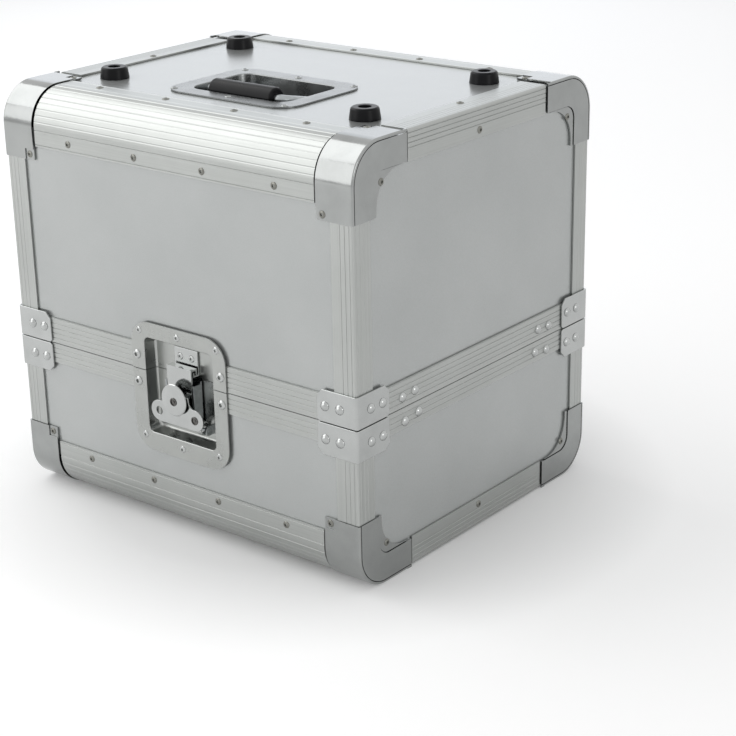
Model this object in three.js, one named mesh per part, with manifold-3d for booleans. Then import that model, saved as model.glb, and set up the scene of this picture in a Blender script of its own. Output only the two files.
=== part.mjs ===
// A record carrying case, in millimetres, +Z up, latch towards -Y.
// A shallow tray stands on the floor and a deep lid closes on it, hinged along the back.
// Boards are held in aluminium profiles, with pressed steel at the corners and joints.
import * as THREE from "three";
import { mergeVertices } from "three/addons/utils/BufferGeometryUtils.js";
import Module from "manifold-3d";

const wasm = await Module();
wasm.setup();

// Case body
const caseWidth = 375;
const caseDepth = 320;
const caseHeight = 360;
const splitHeight = 140;
const splitGap = 0.6;
const panelThickness = 7;

// Fits and cuts
const fitGap = 0.3;
const overrun = 5;
const weldDistance = 0.001;
const arcSteps = 6;
const roundSides = 20;
const smallSides = 10;

// Aluminium profiles
const profileWall = 1.4;
const edgeRadius = 32;
const edgeFlange = 15;
const edgeInnerFlange = 8;
const edgeRibs = 9;
const ribDepth = 0.5;
const ribWidth = 1.6;
const ribPitch = 4.4;
const postFrontWidth = 21.5;
const postSideWidth = 20;
const endProfileWidth = 25;

// Closure rails
const trayRailHeight = 18;
const lidRailHeight = 23;
const railInnerHeight = 10;
const railSeat = 4;
const tongueHeight = 2.5;
const tongueWidth = 2;
const grooveClearance = 0.8;
const grooveFloor = 0.5;

// Pressed corners
const cornerProud = 1;
const cornerBandWidth = 34;
const cornerReach = 59;
const cornerSideReach = 65;
const cornerSideLeg = 28;
const cornerTopLeg = 24;
const cornerRimWidth = 24;
const cornerRimRadius = 12;
const cornerRimRise = 0.8;
const edgeProfileGap = 2;

// Corner braces at the split
const braceWall = 1.5;
const braceReach = 38;
const braceHeight = 26;
const braceInset = 0.6;
const braceClip = 7;
const braceTaperShare = 0.75;
const braceRivetNear = 15.5;
const braceRivetFar = 30;
const rivetRadius = 4.6;
const rivetRise = 2.5;

// Hinge along the back
const hingeBraceGap = 9.5;
const hingeLeafWall = 1.5;
const hingeLeafHeight = 20;
const hingeBarrelRadius = 4;
const hingePinRadius = 1.8;
const hingeKnuckles = 5;
const hingeKnuckleGap = 0.5;
const runningGap = 0.4;

// Recessed latch
const latchX = 2;
const dishWall = 1.2;
const dishLift = 0.2;
const dishDepth = 10;
const dishHalfWidth = 38;
const dishFlange = 14.5;
const trayDishHeight = 54;
const trayDishFlange = 16.5;
const lidDishHeight = 29;
const lidDishFlange = 13.5;
const dishFlangeRadius = 20;
const dishRadius = 6;
const cutClearance = 0.6;

// Latch works, with depths counted inwards from the case's front plane
const latchPlate = 1.5;
const swingDepth = 6;
const swingBelowSplit = 42;
const swingBarrelRadius = 3;
const swingPinRadius = 1.5;
const swingEarInner = 22;
const swingEarWidth = 2.5;
const swingEarHalfHeight = 4;
const carrierHalfWidth = 16;
const carrierDepth = 7.2;
const carrierKnuckleEnd = 10;
const carrierTopGap = 1;
const cheekTopGap = 3;
const drawboltProud = 1;
const drawboltSideGap = 0.9;
const drawboltTop = 10.3;
const drawboltHeight = 44;
const drawboltTravel = 6;
const hookReach = 6.2;
const hookDrop = 5.1;
const keeperHalfWidth = 13;
const keeperBottom = 3;
const keeperTop = 24;
const keeperLipDepth = 2.3;
const keeperLipHeight = 4.3;
const spindleRadius = 3;
const spindleBelowSplit = 17.2;
const spindleEndGap = 1;
const wingProud = 6.5;
const wingHubRadius = 16;
const wingCapRadius = 14.5;
const wingLobeRadius = 9.5;
const wingLobeX = 20;
const wingLobeDrop = 13;
const wingHoleRadius = 3.6;
const wingRivetRadius = 3.4;
const wingRivetRise = 0.5;
const springRadius = 2.7;
const springWire = 0.6;
const springPitch = 1.9;
const springTurns = 5;
const springSteps = 10;
const springSides = 5;

// Carrying handle
const handleFrontInset = 118.5;
const handleHalfWidth = 52;
const handleHalfDepth = 35.5;
const handleFlange = 16;
const handleFlangeRadius = 20;
const handleDishRadius = 12;
const handleDishDepth = 22;
const bailRadius = 4;
const bailHalfWidth = 41;
const bailPivotBehind = 19;
const bailPivotBelow = 11;
const bailPivotReach = 50.2;
const bailPivotGap = 0.4;
const bailEarInner = 47.5;
const bailEarWidth = 3;
const bailEarHalfDepth = 7;
const bailEarRise = 7;
const gripAhead = 22.5;
const gripBelow = 1.8;
const gripRadius = 9.5;
const gripHalfLength = 33.5;
const gripRound = 2;

// Rubber feet
const footSideInset = 51.5;
const footFrontInset = 81;
const footBaseRadius = 12.5;
const footTopRadius = 10.8;
const footHeight = 9.5;
const footRound = 1.5;
const footHoleRadius = 5;
const footHoleDepth = 4.5;

// Places worked out from the sizes above
const halfWidth = caseWidth / 2;
const halfDepth = caseDepth / 2;
const panelFace = profileWall + fitGap;
const panelBack = panelFace + panelThickness;
const innerFace = panelBack + fitGap;
const trayTop = splitHeight - splitGap / 2;
const lidBottom = splitHeight + splitGap / 2;
const trayPanelTop = trayTop - railSeat - fitGap;
const lidPanelBottom = lidBottom + profileWall + fitGap;
const swingHeight = splitHeight - swingBelowSplit;
const spindleHeight = splitHeight - spindleBelowSplit;
const hingeY = halfDepth + dishLift + hingeBarrelRadius + fitGap;
const hingeLength = caseWidth - 2 * (braceReach + hingeBraceGap);
const handleY = -halfDepth + handleFrontInset;
const gripY = handleY - gripAhead;
const bailPivotY = handleY + bailPivotBehind;
const footX = halfWidth - footSideInset;
const footY = halfDepth - footFrontInset;
const plateLift = halfDepth + dishLift;
const xAxis = new THREE.Vector3(1, 0, 0);
const yAxis = new THREE.Vector3(0, 1, 0);
const zAxis = new THREE.Vector3(0, 0, 1);

// Materials
const aluminium = new THREE.MeshStandardMaterial({ color: 0xb4b7b6, roughness: 0.38, metalness: 0.9 });
const panelSkin = new THREE.MeshStandardMaterial({ color: 0xb2b4b2, roughness: 0.5, metalness: 0.4 });
const chrome = new THREE.MeshStandardMaterial({ color: 0xd4d7d8, roughness: 0.16, metalness: 1 });
const steel = new THREE.MeshStandardMaterial({ color: 0xa9acad, roughness: 0.3, metalness: 1 });
const rubber = new THREE.MeshStandardMaterial({ color: 0x161819, roughness: 0.75, metalness: 0 });

// Solids from three.js geometry, joined and cut
function solidOf(geometry) {
  const bare = new THREE.BufferGeometry();
  bare.setAttribute("position", geometry.getAttribute("position"));
  bare.setIndex(geometry.getIndex());
  const welded = mergeVertices(bare, weldDistance);
  const vertProperties = welded.getAttribute("position").array;
  const triVerts = new Uint32Array(welded.getIndex().array);
  return new wasm.Manifold(new wasm.Mesh({ numProp: 3, vertProperties, triVerts }));
}

function geometryOf(solid) {
  const mesh = solid.getMesh();
  const geometry = new THREE.BufferGeometry();
  geometry.setAttribute("position", new THREE.BufferAttribute(mesh.vertProperties.slice(), 3));
  geometry.setIndex(new THREE.BufferAttribute(mesh.triVerts.slice(), 1));
  geometry.computeVertexNormals();
  return geometry;
}

function join(...solids) {
  return solids.reduce((whole, piece) => whole.add(piece));
}

function cut(solid, ...cutters) {
  return cutters.reduce((whole, piece) => whole.subtract(piece), solid);
}

function box(x0, x1, y0, y1, z0, z1) {
  const geometry = new THREE.BoxGeometry(x1 - x0, y1 - y0, z1 - z0);
  geometry.translate((x0 + x1) / 2, (y0 + y1) / 2, (z0 + z1) / 2);
  return solidOf(geometry);
}

function extrude(shape, length, right, up, out, start) {
  const settings = { depth: length, bevelEnabled: false, curveSegments: arcSteps };
  const geometry = new THREE.ExtrudeGeometry(shape, settings);
  geometry.applyMatrix4(new THREE.Matrix4().makeBasis(right, up, out).setPosition(start));
  return solidOf(geometry);
}

// An outline in Y and Z, swept from x0 to x1
function alongX(shape, x0, x1) {
  return extrude(shape, x1 - x0, yAxis, zAxis, xAxis, new THREE.Vector3(x0, 0, 0));
}

// An outline in X and Z, swept from y0 to y1
function alongY(shape, y0, y1) {
  const out = yAxis.clone().negate();
  return extrude(shape, y1 - y0, xAxis, zAxis, out, new THREE.Vector3(0, y1, 0));
}

// An outline in X and Y, swept from z0 to z1
function alongZ(shape, z0, z1) {
  return extrude(shape, z1 - z0, xAxis, yAxis, zAxis, new THREE.Vector3(0, 0, z0));
}

function outline(...points) {
  return new THREE.Shape(points.map(([u, v]) => new THREE.Vector2(u, v)));
}

// A rectangle with its two lower and its two upper corners rounded
function roundedRectangle(u0, u1, v0, v1, lowRadius, highRadius) {
  const shape = new THREE.Shape();
  const corner = (u, v, radius, start) => {
    if (radius > 0) shape.absarc(u, v, radius, start, start + Math.PI / 2, false);
    else shape.lineTo(u, v);
  };
  shape.moveTo(u0 + lowRadius, v0);
  corner(u1 - lowRadius, v0 + lowRadius, lowRadius, -Math.PI / 2);
  corner(u1 - highRadius, v1 - highRadius, highRadius, 0);
  corner(u0 + highRadius, v1 - highRadius, highRadius, Math.PI / 2);
  corner(u0 + lowRadius, v0 + lowRadius, lowRadius, Math.PI);
  return shape;
}

function rodX(radius, x0, x1, y, z, sides) {
  const geometry = new THREE.CylinderGeometry(radius, radius, x1 - x0, sides);
  geometry.rotateZ(Math.PI / 2).translate((x0 + x1) / 2, y, z);
  return solidOf(geometry);
}

function rodY(radius, x, y0, y1, z, sides) {
  const geometry = new THREE.CylinderGeometry(radius, radius, y1 - y0, sides);
  geometry.translate(x, (y0 + y1) / 2, z);
  return solidOf(geometry);
}

// A rivet head, domed outwards along a direction
function rivetHead(radius, rise, place, direction) {
  const shoulderShare = 0.8;
  const shoulderRiseShare = 0.65;
  const points = [
    new THREE.Vector2(0, -rise),
    new THREE.Vector2(radius, -rise),
    new THREE.Vector2(radius, 0),
    new THREE.Vector2(radius * shoulderShare, rise * shoulderRiseShare),
    new THREE.Vector2(0, rise),
  ];
  const geometry = new THREE.LatheGeometry(points, smallSides);
  geometry.applyQuaternion(new THREE.Quaternion().setFromUnitVectors(yAxis, direction));
  geometry.translate(place.x, place.y, place.z);
  return solidOf(geometry);
}

// A rectangular frame that lies between two distances in from the case's outer planes
function frameRing(outer, inner, z0, z1) {
  const ring = roundedRectangle(
    -halfWidth + outer, halfWidth - outer, -halfDepth + outer, halfDepth - outer, 0, 0);
  const hole = roundedRectangle(
    -halfWidth + inner, halfWidth - inner, -halfDepth + inner, halfDepth - inner, 0, 0);
  return cut(alongZ(ring, z0, z1), alongZ(hole, z0 - overrun, z1 + overrun));
}

// Flat boards, cut round the latch and the handle
function endPanel(z0, z1, lowRadius, highRadius) {
  const side = halfDepth - panelFace;
  const shape = roundedRectangle(-side, side, z0, z1, lowRadius, highRadius);
  return alongX(shape, halfWidth - panelBack, halfWidth - panelFace);
}

function trayEndPanel() {
  return endPanel(panelFace, trayPanelTop, edgeRadius - panelFace, 0);
}

function lidEndPanel() {
  return endPanel(lidPanelBottom, caseHeight - panelFace, 0, edgeRadius - panelFace);
}

function longPanel(z0, z1) {
  const reach = halfWidth - panelBack - fitGap;
  return box(-reach, reach, halfDepth - panelBack, halfDepth - panelFace, z0, z1);
}

function trayLongPanel() {
  return longPanel(edgeRadius + fitGap, trayPanelTop);
}

function lidLongPanel() {
  return longPanel(lidPanelBottom, caseHeight - edgeRadius - fitGap);
}

function dishCutter(z0, z1) {
  const reach = dishHalfWidth + dishWall + cutClearance;
  const inward = halfDepth - dishDepth - dishWall - overrun;
  return box(latchX - reach, latchX + reach, -halfDepth - overrun, -inward, z0, z1);
}

function latchCutter() {
  const room = dishWall + cutClearance;
  return dishCutter(trayTop - trayDishHeight - room, lidBottom + lidDishHeight + room);
}

function frontOf(solid) {
  const turned = geometryOf(solid);
  turned.rotateZ(Math.PI);
  return solidOf(turned);
}

function flatPanel(z0, z1) {
  const reach = halfWidth - panelBack - fitGap;
  const side = halfDepth - edgeRadius - fitGap;
  return box(-reach, reach, -side, side, z0, z1);
}

function bottomPanel() {
  return flatPanel(panelFace, panelBack);
}

function topPanel() {
  const room = dishWall + cutClearance;
  const reach = handleHalfWidth + room;
  const side = handleHalfDepth + room;
  const hole = roundedRectangle(
    -reach, reach, handleY - side, handleY + side, handleDishRadius, handleDishRadius);
  const board = flatPanel(caseHeight - panelBack, caseHeight - panelFace);
  return cut(board, alongZ(hole, caseHeight - panelBack - overrun, caseHeight + overrun));
}

// Rounded profile along the lid's upper front edge, with channels that hold the boards
function ribbedArc() {
  const shape = new THREE.Shape();
  const centreY = -halfDepth + edgeRadius;
  const centreZ = caseHeight - edgeRadius;
  const steps = edgeRibs * 2;
  for (let i = 0; i <= steps; i += 1) {
    const angle = Math.PI / 2 + (Math.PI / 2) * (i / steps);
    const radius = edgeRadius - (i % 2) * ribDepth;
    const y = centreY + radius * Math.cos(angle);
    const z = centreZ + radius * Math.sin(angle);
    if (i === 0) shape.moveTo(y, z);
    else shape.lineTo(y, z);
  }
  shape.absarc(centreY, centreZ, edgeRadius - profileWall, Math.PI, Math.PI / 2, true);
  return shape;
}

function innerArc() {
  const shape = new THREE.Shape();
  const centreY = -halfDepth + edgeRadius;
  const centreZ = caseHeight - edgeRadius;
  shape.absarc(centreY, centreZ, edgeRadius - innerFace, Math.PI / 2, Math.PI, false);
  shape.absarc(centreY, centreZ, edgeRadius - innerFace - profileWall, Math.PI, Math.PI / 2, true);
  return shape;
}

function longProfile() {
  const reach = halfWidth - cornerBandWidth - edgeProfileGap;
  const front = -halfDepth;
  const arcY = front + edgeRadius;
  const arcZ = caseHeight - edgeRadius;
  const inner = innerFace + profileWall;
  return join(
    alongX(ribbedArc(), -reach, reach),
    alongX(innerArc(), -reach, reach),
    box(-reach, reach, front, front + profileWall, arcZ - edgeFlange, arcZ),
    box(-reach, reach, arcY, arcY + edgeFlange, caseHeight - profileWall, caseHeight),
    box(-reach, reach, front + innerFace, front + inner, arcZ - edgeInnerFlange, arcZ),
    box(-reach, reach, arcY, arcY + edgeInnerFlange, caseHeight - inner, caseHeight - innerFace),
    box(-reach, reach, front, front + inner, arcZ, arcZ + profileWall),
    box(-reach, reach, arcY - profileWall, arcY, caseHeight - inner, caseHeight),
  );
}

// Square profiles of two ribbed legs, on the upright edges and along the end faces
function grooves(width, cutter) {
  const found = [];
  for (let place = ribPitch; place + ribWidth < width; place += ribPitch) {
    found.push(cutter(place, place + ribWidth));
  }
  return found;
}

function post(z0, z1) {
  const x = halfWidth;
  const y = -halfDepth;
  const low = z0 - overrun;
  const high = z1 + overrun;
  const legs = join(
    box(x - postFrontWidth, x, y, y + profileWall, z0, z1),
    box(x - profileWall, x, y, y + postSideWidth, z0, z1),
  );
  const front = grooves(postFrontWidth, (from, to) =>
    box(x - to, x - from, y - overrun, y + ribDepth, low, high));
  const side = grooves(postSideWidth, (from, to) =>
    box(x - ribDepth, x + overrun, y + from, y + to, low, high));
  return cut(legs, ...front, ...side);
}

function trayPost() {
  return post(cornerReach + fitGap, splitHeight - trayRailHeight - fitGap);
}

function lidPost() {
  return post(splitHeight + lidRailHeight + fitGap, caseHeight - cornerReach - fitGap);
}

function endProfile() {
  const x = halfWidth;
  const z = caseHeight;
  const reach = halfDepth - cornerSideReach - edgeProfileGap;
  const far = reach + overrun;
  const legs = join(
    box(x - endProfileWidth, x, -reach, reach, z - profileWall, z),
    box(x - profileWall, x, -reach, reach, z - endProfileWidth, z),
  );
  const top = grooves(endProfileWidth / 2, (from, to) =>
    box(x - to, x - from, -far, far, z - ribDepth, z + overrun));
  const side = grooves(endProfileWidth / 2, (from, to) =>
    box(x - ribDepth, x + overrun, -far, far, z - to, z - from));
  return cut(legs, ...top, ...side);
}

// Closure rails that meet all round at the split, with a tongue in a groove
function railGrooves(z0, height) {
  return grooves(height, (from, to) => frameRing(-overrun, ribDepth, z0 + from, z0 + to));
}

function trayRail() {
  const tongueIn = (panelFace + panelBack - tongueWidth) / 2;
  const z0 = splitHeight - trayRailHeight;
  const grooveTop = trayTop + overrun;
  const grooveZ = lidBottom - tongueHeight - grooveFloor;
  const groove = frameRing(
    tongueIn - grooveClearance, tongueIn + tongueWidth + grooveClearance, grooveZ, grooveTop);
  const rail = join(
    frameRing(0, profileWall, z0, trayTop),
    frameRing(0, innerFace + profileWall, trayTop - railSeat, trayTop),
    frameRing(innerFace, innerFace + profileWall, trayTop - railInnerHeight, trayTop),
  );
  return cut(rail, groove, latchCutter(), ...railGrooves(z0, trayRailHeight));
}

function lidRail() {
  const tongueIn = (panelFace + panelBack - tongueWidth) / 2;
  const z1 = splitHeight + lidRailHeight;
  const rail = join(
    frameRing(0, profileWall, lidBottom, z1),
    frameRing(0, innerFace + profileWall, lidBottom, lidBottom + profileWall),
    frameRing(innerFace, innerFace + profileWall, lidBottom, lidBottom + railInnerHeight),
    frameRing(tongueIn, tongueIn + tongueWidth, lidBottom - tongueHeight, lidBottom + profileWall),
  );
  return cut(rail, latchCutter(), ...railGrooves(splitHeight, lidRailHeight));
}

// Pressed steel corner: a band over the rounded edge, and a plate on the end face
function cornerBandOutline() {
  const y = -halfDepth - cornerProud;
  const z = caseHeight + cornerProud;
  const radius = edgeRadius + cornerProud;
  const wall = cornerProud + profileWall;
  const centreY = -halfDepth + edgeRadius;
  const centreZ = caseHeight - edgeRadius;
  const shape = new THREE.Shape();
  shape.moveTo(y, caseHeight - cornerReach);
  shape.lineTo(y, centreZ);
  shape.absarc(centreY, centreZ, radius, Math.PI, Math.PI / 2, true);
  shape.lineTo(-halfDepth + cornerReach, z);
  shape.lineTo(-halfDepth + cornerReach, z - wall);
  shape.absarc(centreY, centreZ, radius - wall, Math.PI / 2, Math.PI, false);
  shape.lineTo(y + wall, caseHeight - cornerReach);
  return shape;
}

function cornerPlateOutline() {
  const y = -halfDepth - cornerProud;
  const z = caseHeight + cornerProud;
  const legY = -halfDepth + cornerSideLeg;
  const legZ = caseHeight - cornerTopLeg;
  const endY = -halfDepth + cornerSideReach;
  const radius = Math.min(endY - legY, legZ - caseHeight + cornerReach);
  const shape = new THREE.Shape();
  shape.moveTo(y, caseHeight - cornerReach);
  shape.lineTo(y, caseHeight - edgeRadius);
  shape.absarc(
    -halfDepth + edgeRadius, caseHeight - edgeRadius, edgeRadius + cornerProud,
    Math.PI, Math.PI / 2, true);
  shape.lineTo(endY, z);
  shape.lineTo(endY, legZ);
  shape.absarc(legY + radius, legZ - radius, radius, Math.PI / 2, Math.PI, false);
  shape.lineTo(legY, caseHeight - cornerReach);
  return shape;
}

function cornerRecessOutline() {
  const rimY = -halfDepth + cornerRimWidth;
  const rimZ = caseHeight - cornerRimWidth;
  const shape = new THREE.Shape();
  shape.moveTo(rimY, caseHeight - cornerReach - overrun);
  shape.lineTo(rimY, rimZ - cornerRimRadius);
  shape.absarc(
    rimY + cornerRimRadius, rimZ - cornerRimRadius, cornerRimRadius, Math.PI, Math.PI / 2, true);
  shape.lineTo(-halfDepth + cornerSideReach + overrun, rimZ);
  shape.lineTo(-halfDepth + cornerSideReach + overrun, caseHeight - cornerReach - overrun);
  return shape;
}

function corner() {
  const face = halfWidth + cornerProud;
  const band = alongX(cornerBandOutline(), halfWidth - cornerBandWidth, face);
  const plate = alongX(cornerPlateOutline(), halfWidth - profileWall, face);
  const recess = alongX(cornerRecessOutline(), face - cornerRimRise, face + overrun);
  return cut(join(band, plate), recess);
}

// Bent plate over the end of a rail, with two rivets in each leg
function braceLeg(z0, z1, nearShare) {
  const reach = -braceReach;
  const outer = dishLift + braceWall;
  const low = braceClip * nearShare;
  const high = braceClip * (1 - nearShare);
  return outline(
    [outer, z0], [reach + low, z0], [reach, z0 + low],
    [reach, z1 - high], [reach + high, z1], [outer, z1]);
}

function brace(z0, z1, nearShare) {
  const x = halfWidth + dishLift;
  const y = -halfDepth - dishLift;
  const middle = (z0 + z1) / 2;
  const frontShape = braceLeg(z0, z1, nearShare);
  const front = geometryOf(alongY(frontShape, y - braceWall, y)).translate(halfWidth, 0, 0);
  const side = geometryOf(alongX(frontShape, -x - braceWall, -x)).rotateZ(Math.PI);
  side.translate(0, -halfDepth, 0);
  const heads = [braceRivetNear, braceRivetFar].flatMap((place) => [
    rivetHead(rivetRadius, rivetRise,
      new THREE.Vector3(halfWidth - place, y - braceWall, middle), new THREE.Vector3(0, -1, 0)),
    rivetHead(rivetRadius, rivetRise,
      new THREE.Vector3(x + braceWall, -halfDepth + place, middle), xAxis),
  ]);
  const inner = box(-overrun, x, y, overrun, z0 - overrun, z1 + overrun);
  return cut(join(solidOf(front), solidOf(side), ...heads), inner);
}

function trayBrace() {
  return brace(trayTop - braceInset - braceHeight, trayTop - braceInset, braceTaperShare);
}

function lidBrace() {
  return brace(lidBottom + braceInset, lidBottom + braceInset + braceHeight, 1 - braceTaperShare);
}

// Hinge leaves along the back: the tray's carries the pin, the lid's turns round it
function knuckles(first) {
  const step = hingeLength / hingeKnuckles;
  const found = [];
  for (let i = first; i < hingeKnuckles; i += 2) {
    const start = -hingeLength / 2 + i * step;
    found.push([start + hingeKnuckleGap / 2, start + step - hingeKnuckleGap / 2]);
  }
  return found;
}

function hingeLeaf(first, up) {
  const near = hingeBarrelRadius + hingeKnuckleGap;
  const ends = [splitHeight + up * near, splitHeight + up * (near + hingeLeafHeight)];
  const y1 = plateLift + hingeLeafWall;
  const leaf = box(
    -hingeLength / 2, hingeLength / 2, plateLift, y1, Math.min(...ends), Math.max(...ends));
  const arms = knuckles(first).map(([x0, x1]) => {
    const arm = [splitHeight, splitHeight + up * (near + hingeLeafWall)];
    return join(
      rodX(hingeBarrelRadius, x0, x1, hingeY, splitHeight, roundSides),
      box(x0, x1, plateLift, y1, Math.min(...arm), Math.max(...arm)),
    );
  });
  return join(leaf, ...arms);
}

function trayHingeLeaf() {
  const reach = hingeLength / 2 - hingeKnuckleGap;
  return join(
    hingeLeaf(0, -1), rodX(hingePinRadius, -reach, reach, hingeY, splitHeight, roundSides));
}

function lidHingeLeaf() {
  const bore = hingePinRadius + runningGap;
  const reach = hingeLength / 2 + overrun;
  return cut(hingeLeaf(1, 1), rodX(bore, -reach, reach, hingeY, splitHeight, roundSides));
}

// Latch dish in two halves, each with a flange, a floor and three walls
function dishHalf(z0, z1, flange, up) {
  const flangeEnds = [up ? z0 : z0 - flange, up ? z1 + flange : z1];
  const wallEnds = [up ? z0 : z0 - dishWall, up ? z1 + dishWall : z1];
  const roomEnds = [up ? z0 - overrun : z0, up ? z1 : z1 + overrun];
  const radii = (radius) => (up ? [0, radius] : [radius, 0]);
  const face = -halfDepth - dishLift - dishWall;
  const reach = dishHalfWidth + dishFlange;
  const half = (width, ends, radius) =>
    roundedRectangle(latchX - width, latchX + width, ...ends, ...radii(radius));
  const plate = alongY(half(reach, flangeEnds, dishFlangeRadius), face, face + dishWall);
  const walls = alongY(half(dishHalfWidth + dishWall, wallEnds, dishRadius + dishWall),
    face, -halfDepth + dishDepth + dishWall);
  const room = alongY(half(dishHalfWidth, roomEnds, dishRadius),
    face - overrun, -halfDepth + dishDepth);
  return cut(join(plate, walls), room);
}

function trayDish() {
  const y = -halfDepth + swingDepth;
  const z = swingHeight;
  const half = swingEarHalfHeight;
  const floor = -halfDepth + dishDepth + dishWall / 2;
  const far = swingEarInner + swingEarWidth;
  return join(
    dishHalf(trayTop - trayDishHeight, trayTop, trayDishFlange, false),
    box(latchX + swingEarInner, latchX + far, y - half, floor, z - half, z + half),
    box(latchX - far, latchX - swingEarInner, y - half, floor, z - half, z + half),
    rodX(swingPinRadius, latchX - far, latchX + far, y, z, smallSides),
  );
}

function lidDish() {
  return dishHalf(lidBottom, lidBottom + lidDishHeight, lidDishFlange, true);
}

// Keeper riveted in the lid's dish, turned up at its foot to catch the hook
function keeper() {
  const x0 = latchX - keeperHalfWidth;
  const x1 = latchX + keeperHalfWidth;
  const back = -halfDepth + dishDepth - fitGap;
  const lipY = -halfDepth + keeperLipDepth;
  const z0 = splitHeight + keeperBottom;
  return join(
    box(x0, x1, back - latchPlate, back, z0, splitHeight + keeperTop),
    box(x0, x1, lipY, back, z0, z0 + latchPlate),
    box(x0, x1, lipY, lipY + latchPlate, z0, z0 + keeperLipHeight),
  );
}

// Carrier that swings out of the tray's dish, with cheeks that guide the drawbolt
function carrier() {
  const y = -halfDepth;
  const back = y + carrierDepth + latchPlate;
  const x0 = latchX - carrierHalfWidth;
  const x1 = latchX + carrierHalfWidth;
  const top = splitHeight - carrierTopGap;
  const cheekTop = splitHeight - cheekTopGap;
  const cheekBottom = swingHeight + swingBarrelRadius + fitGap;
  const spindleBore = spindleRadius + runningGap;
  const pinBore = swingPinRadius + fitGap;
  const knuckleEnd = latchX + carrierKnuckleEnd;
  const plates = join(
    box(x0, x1, y + carrierDepth, back, cheekBottom, top),
    box(x0, knuckleEnd, y + carrierDepth, back, swingHeight, top),
    box(x0, x0 + latchPlate, y - drawboltProud, back, cheekBottom, cheekTop),
    box(x1 - latchPlate, x1, y - drawboltProud, back, cheekBottom, cheekTop),
    rodX(swingBarrelRadius, x0, knuckleEnd, y + swingDepth, swingHeight, roundSides),
  );
  return cut(plates,
    rodX(pinBore, x0 - overrun, x1 + overrun, y + swingDepth, swingHeight, smallSides),
    rodY(spindleBore, latchX, y, back + overrun, spindleHeight, roundSides));
}

// Drawbolt that slides up the carrier, hooked over at its top
function drawbolt() {
  const y = -halfDepth - drawboltProud;
  const half = carrierHalfWidth - latchPlate - drawboltSideGap;
  const x0 = latchX - half;
  const x1 = latchX + half;
  const top = splitHeight + drawboltTop;
  const slotHalf = spindleRadius + cutClearance;
  const hookY = -halfDepth + hookReach;
  const plate = join(
    box(x0, x1, y, y + latchPlate, top - drawboltHeight, top),
    box(x0, x1, y, hookY, top - latchPlate, top),
    box(x0, x1, hookY - latchPlate, hookY, top - hookDrop, top),
  );
  const slot = roundedRectangle(latchX - slotHalf, latchX + slotHalf,
    spindleHeight - slotHalf - drawboltTravel, spindleHeight + slotHalf, slotHalf, slotHalf);
  return cut(plate, alongY(slot, y - overrun, y + latchPlate + runningGap));
}

// Butterfly wing with its spindle: two lobes below a round cap
function wing() {
  const back = -halfDepth - wingProud;
  const front = back - latchPlate;
  const capFront = front - latchPlate;
  const lobeZ = spindleHeight - wingLobeDrop;
  const lobes = [-wingLobeX, wingLobeX].map((x) =>
    rodY(wingLobeRadius, latchX + x, front, back, lobeZ, roundSides));
  const plate = join(
    rodY(wingHubRadius, latchX, front, back, spindleHeight, roundSides),
    rodY(wingCapRadius, latchX, capFront, back, spindleHeight, roundSides),
    box(latchX - wingLobeX, latchX + wingLobeX, front, back, lobeZ - wingLobeRadius, lobeZ),
    rodY(spindleRadius, latchX, back - latchPlate / 2,
      -halfDepth + dishDepth - spindleEndGap, spindleHeight, roundSides),
    ...lobes,
  );
  const outwards = new THREE.Vector3(0, -1, 0);
  const heads = join(
    rivetHead(wingRivetRadius, wingRivetRise,
      new THREE.Vector3(latchX, capFront, spindleHeight), outwards),
    rivetHead(wingRivetRadius, wingRivetRise,
      new THREE.Vector3(latchX + wingLobeX, front, lobeZ), outwards),
  );
  const hole = rodY(wingHoleRadius, latchX - wingLobeX, front - overrun, back + overrun / 2,
    lobeZ, roundSides);
  return join(cut(plate, hole), heads);
}

// Torsion spring round the carrier's pin, one unbroken tube
class SpringPath extends THREE.Curve {
  getPoint(t, target = new THREE.Vector3()) {
    const angle = t * springTurns * 2 * Math.PI;
    return target.set(
      t * springTurns * springPitch,
      springRadius * Math.cos(angle),
      springRadius * Math.sin(angle));
  }
}

function spring() {
  const path = new SpringPath();
  const section = new THREE.Shape();
  for (let i = 0; i < springSides; i += 1) {
    const angle = (i / springSides) * 2 * Math.PI;
    const place = [springWire * Math.cos(angle), springWire * Math.sin(angle)];
    if (i === 0) section.moveTo(...place);
    else section.lineTo(...place);
  }
  const steps = springTurns * springSteps;
  const geometry = new THREE.ExtrudeGeometry(section, { steps, extrudePath: path });
  const start = latchX + carrierKnuckleEnd + springWire + runningGap;
  geometry.translate(start, -halfDepth + swingDepth, swingHeight);
  return solidOf(geometry);
}

// The least clear distance between neighbouring turns, measured on points along the wire
function springGap() {
  const path = new SpringPath();
  const points = path.getPoints(springTurns * springSteps);
  let least = Infinity;
  points.forEach((point, i) => {
    for (let j = i + springSteps / 2; j < points.length; j += 1) {
      least = Math.min(least, point.distanceTo(points[j]) - 2 * springWire);
    }
  });
  return least;
}
console.log(`least gap between the spring's turns: ${springGap().toFixed(2)} mm`);

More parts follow.
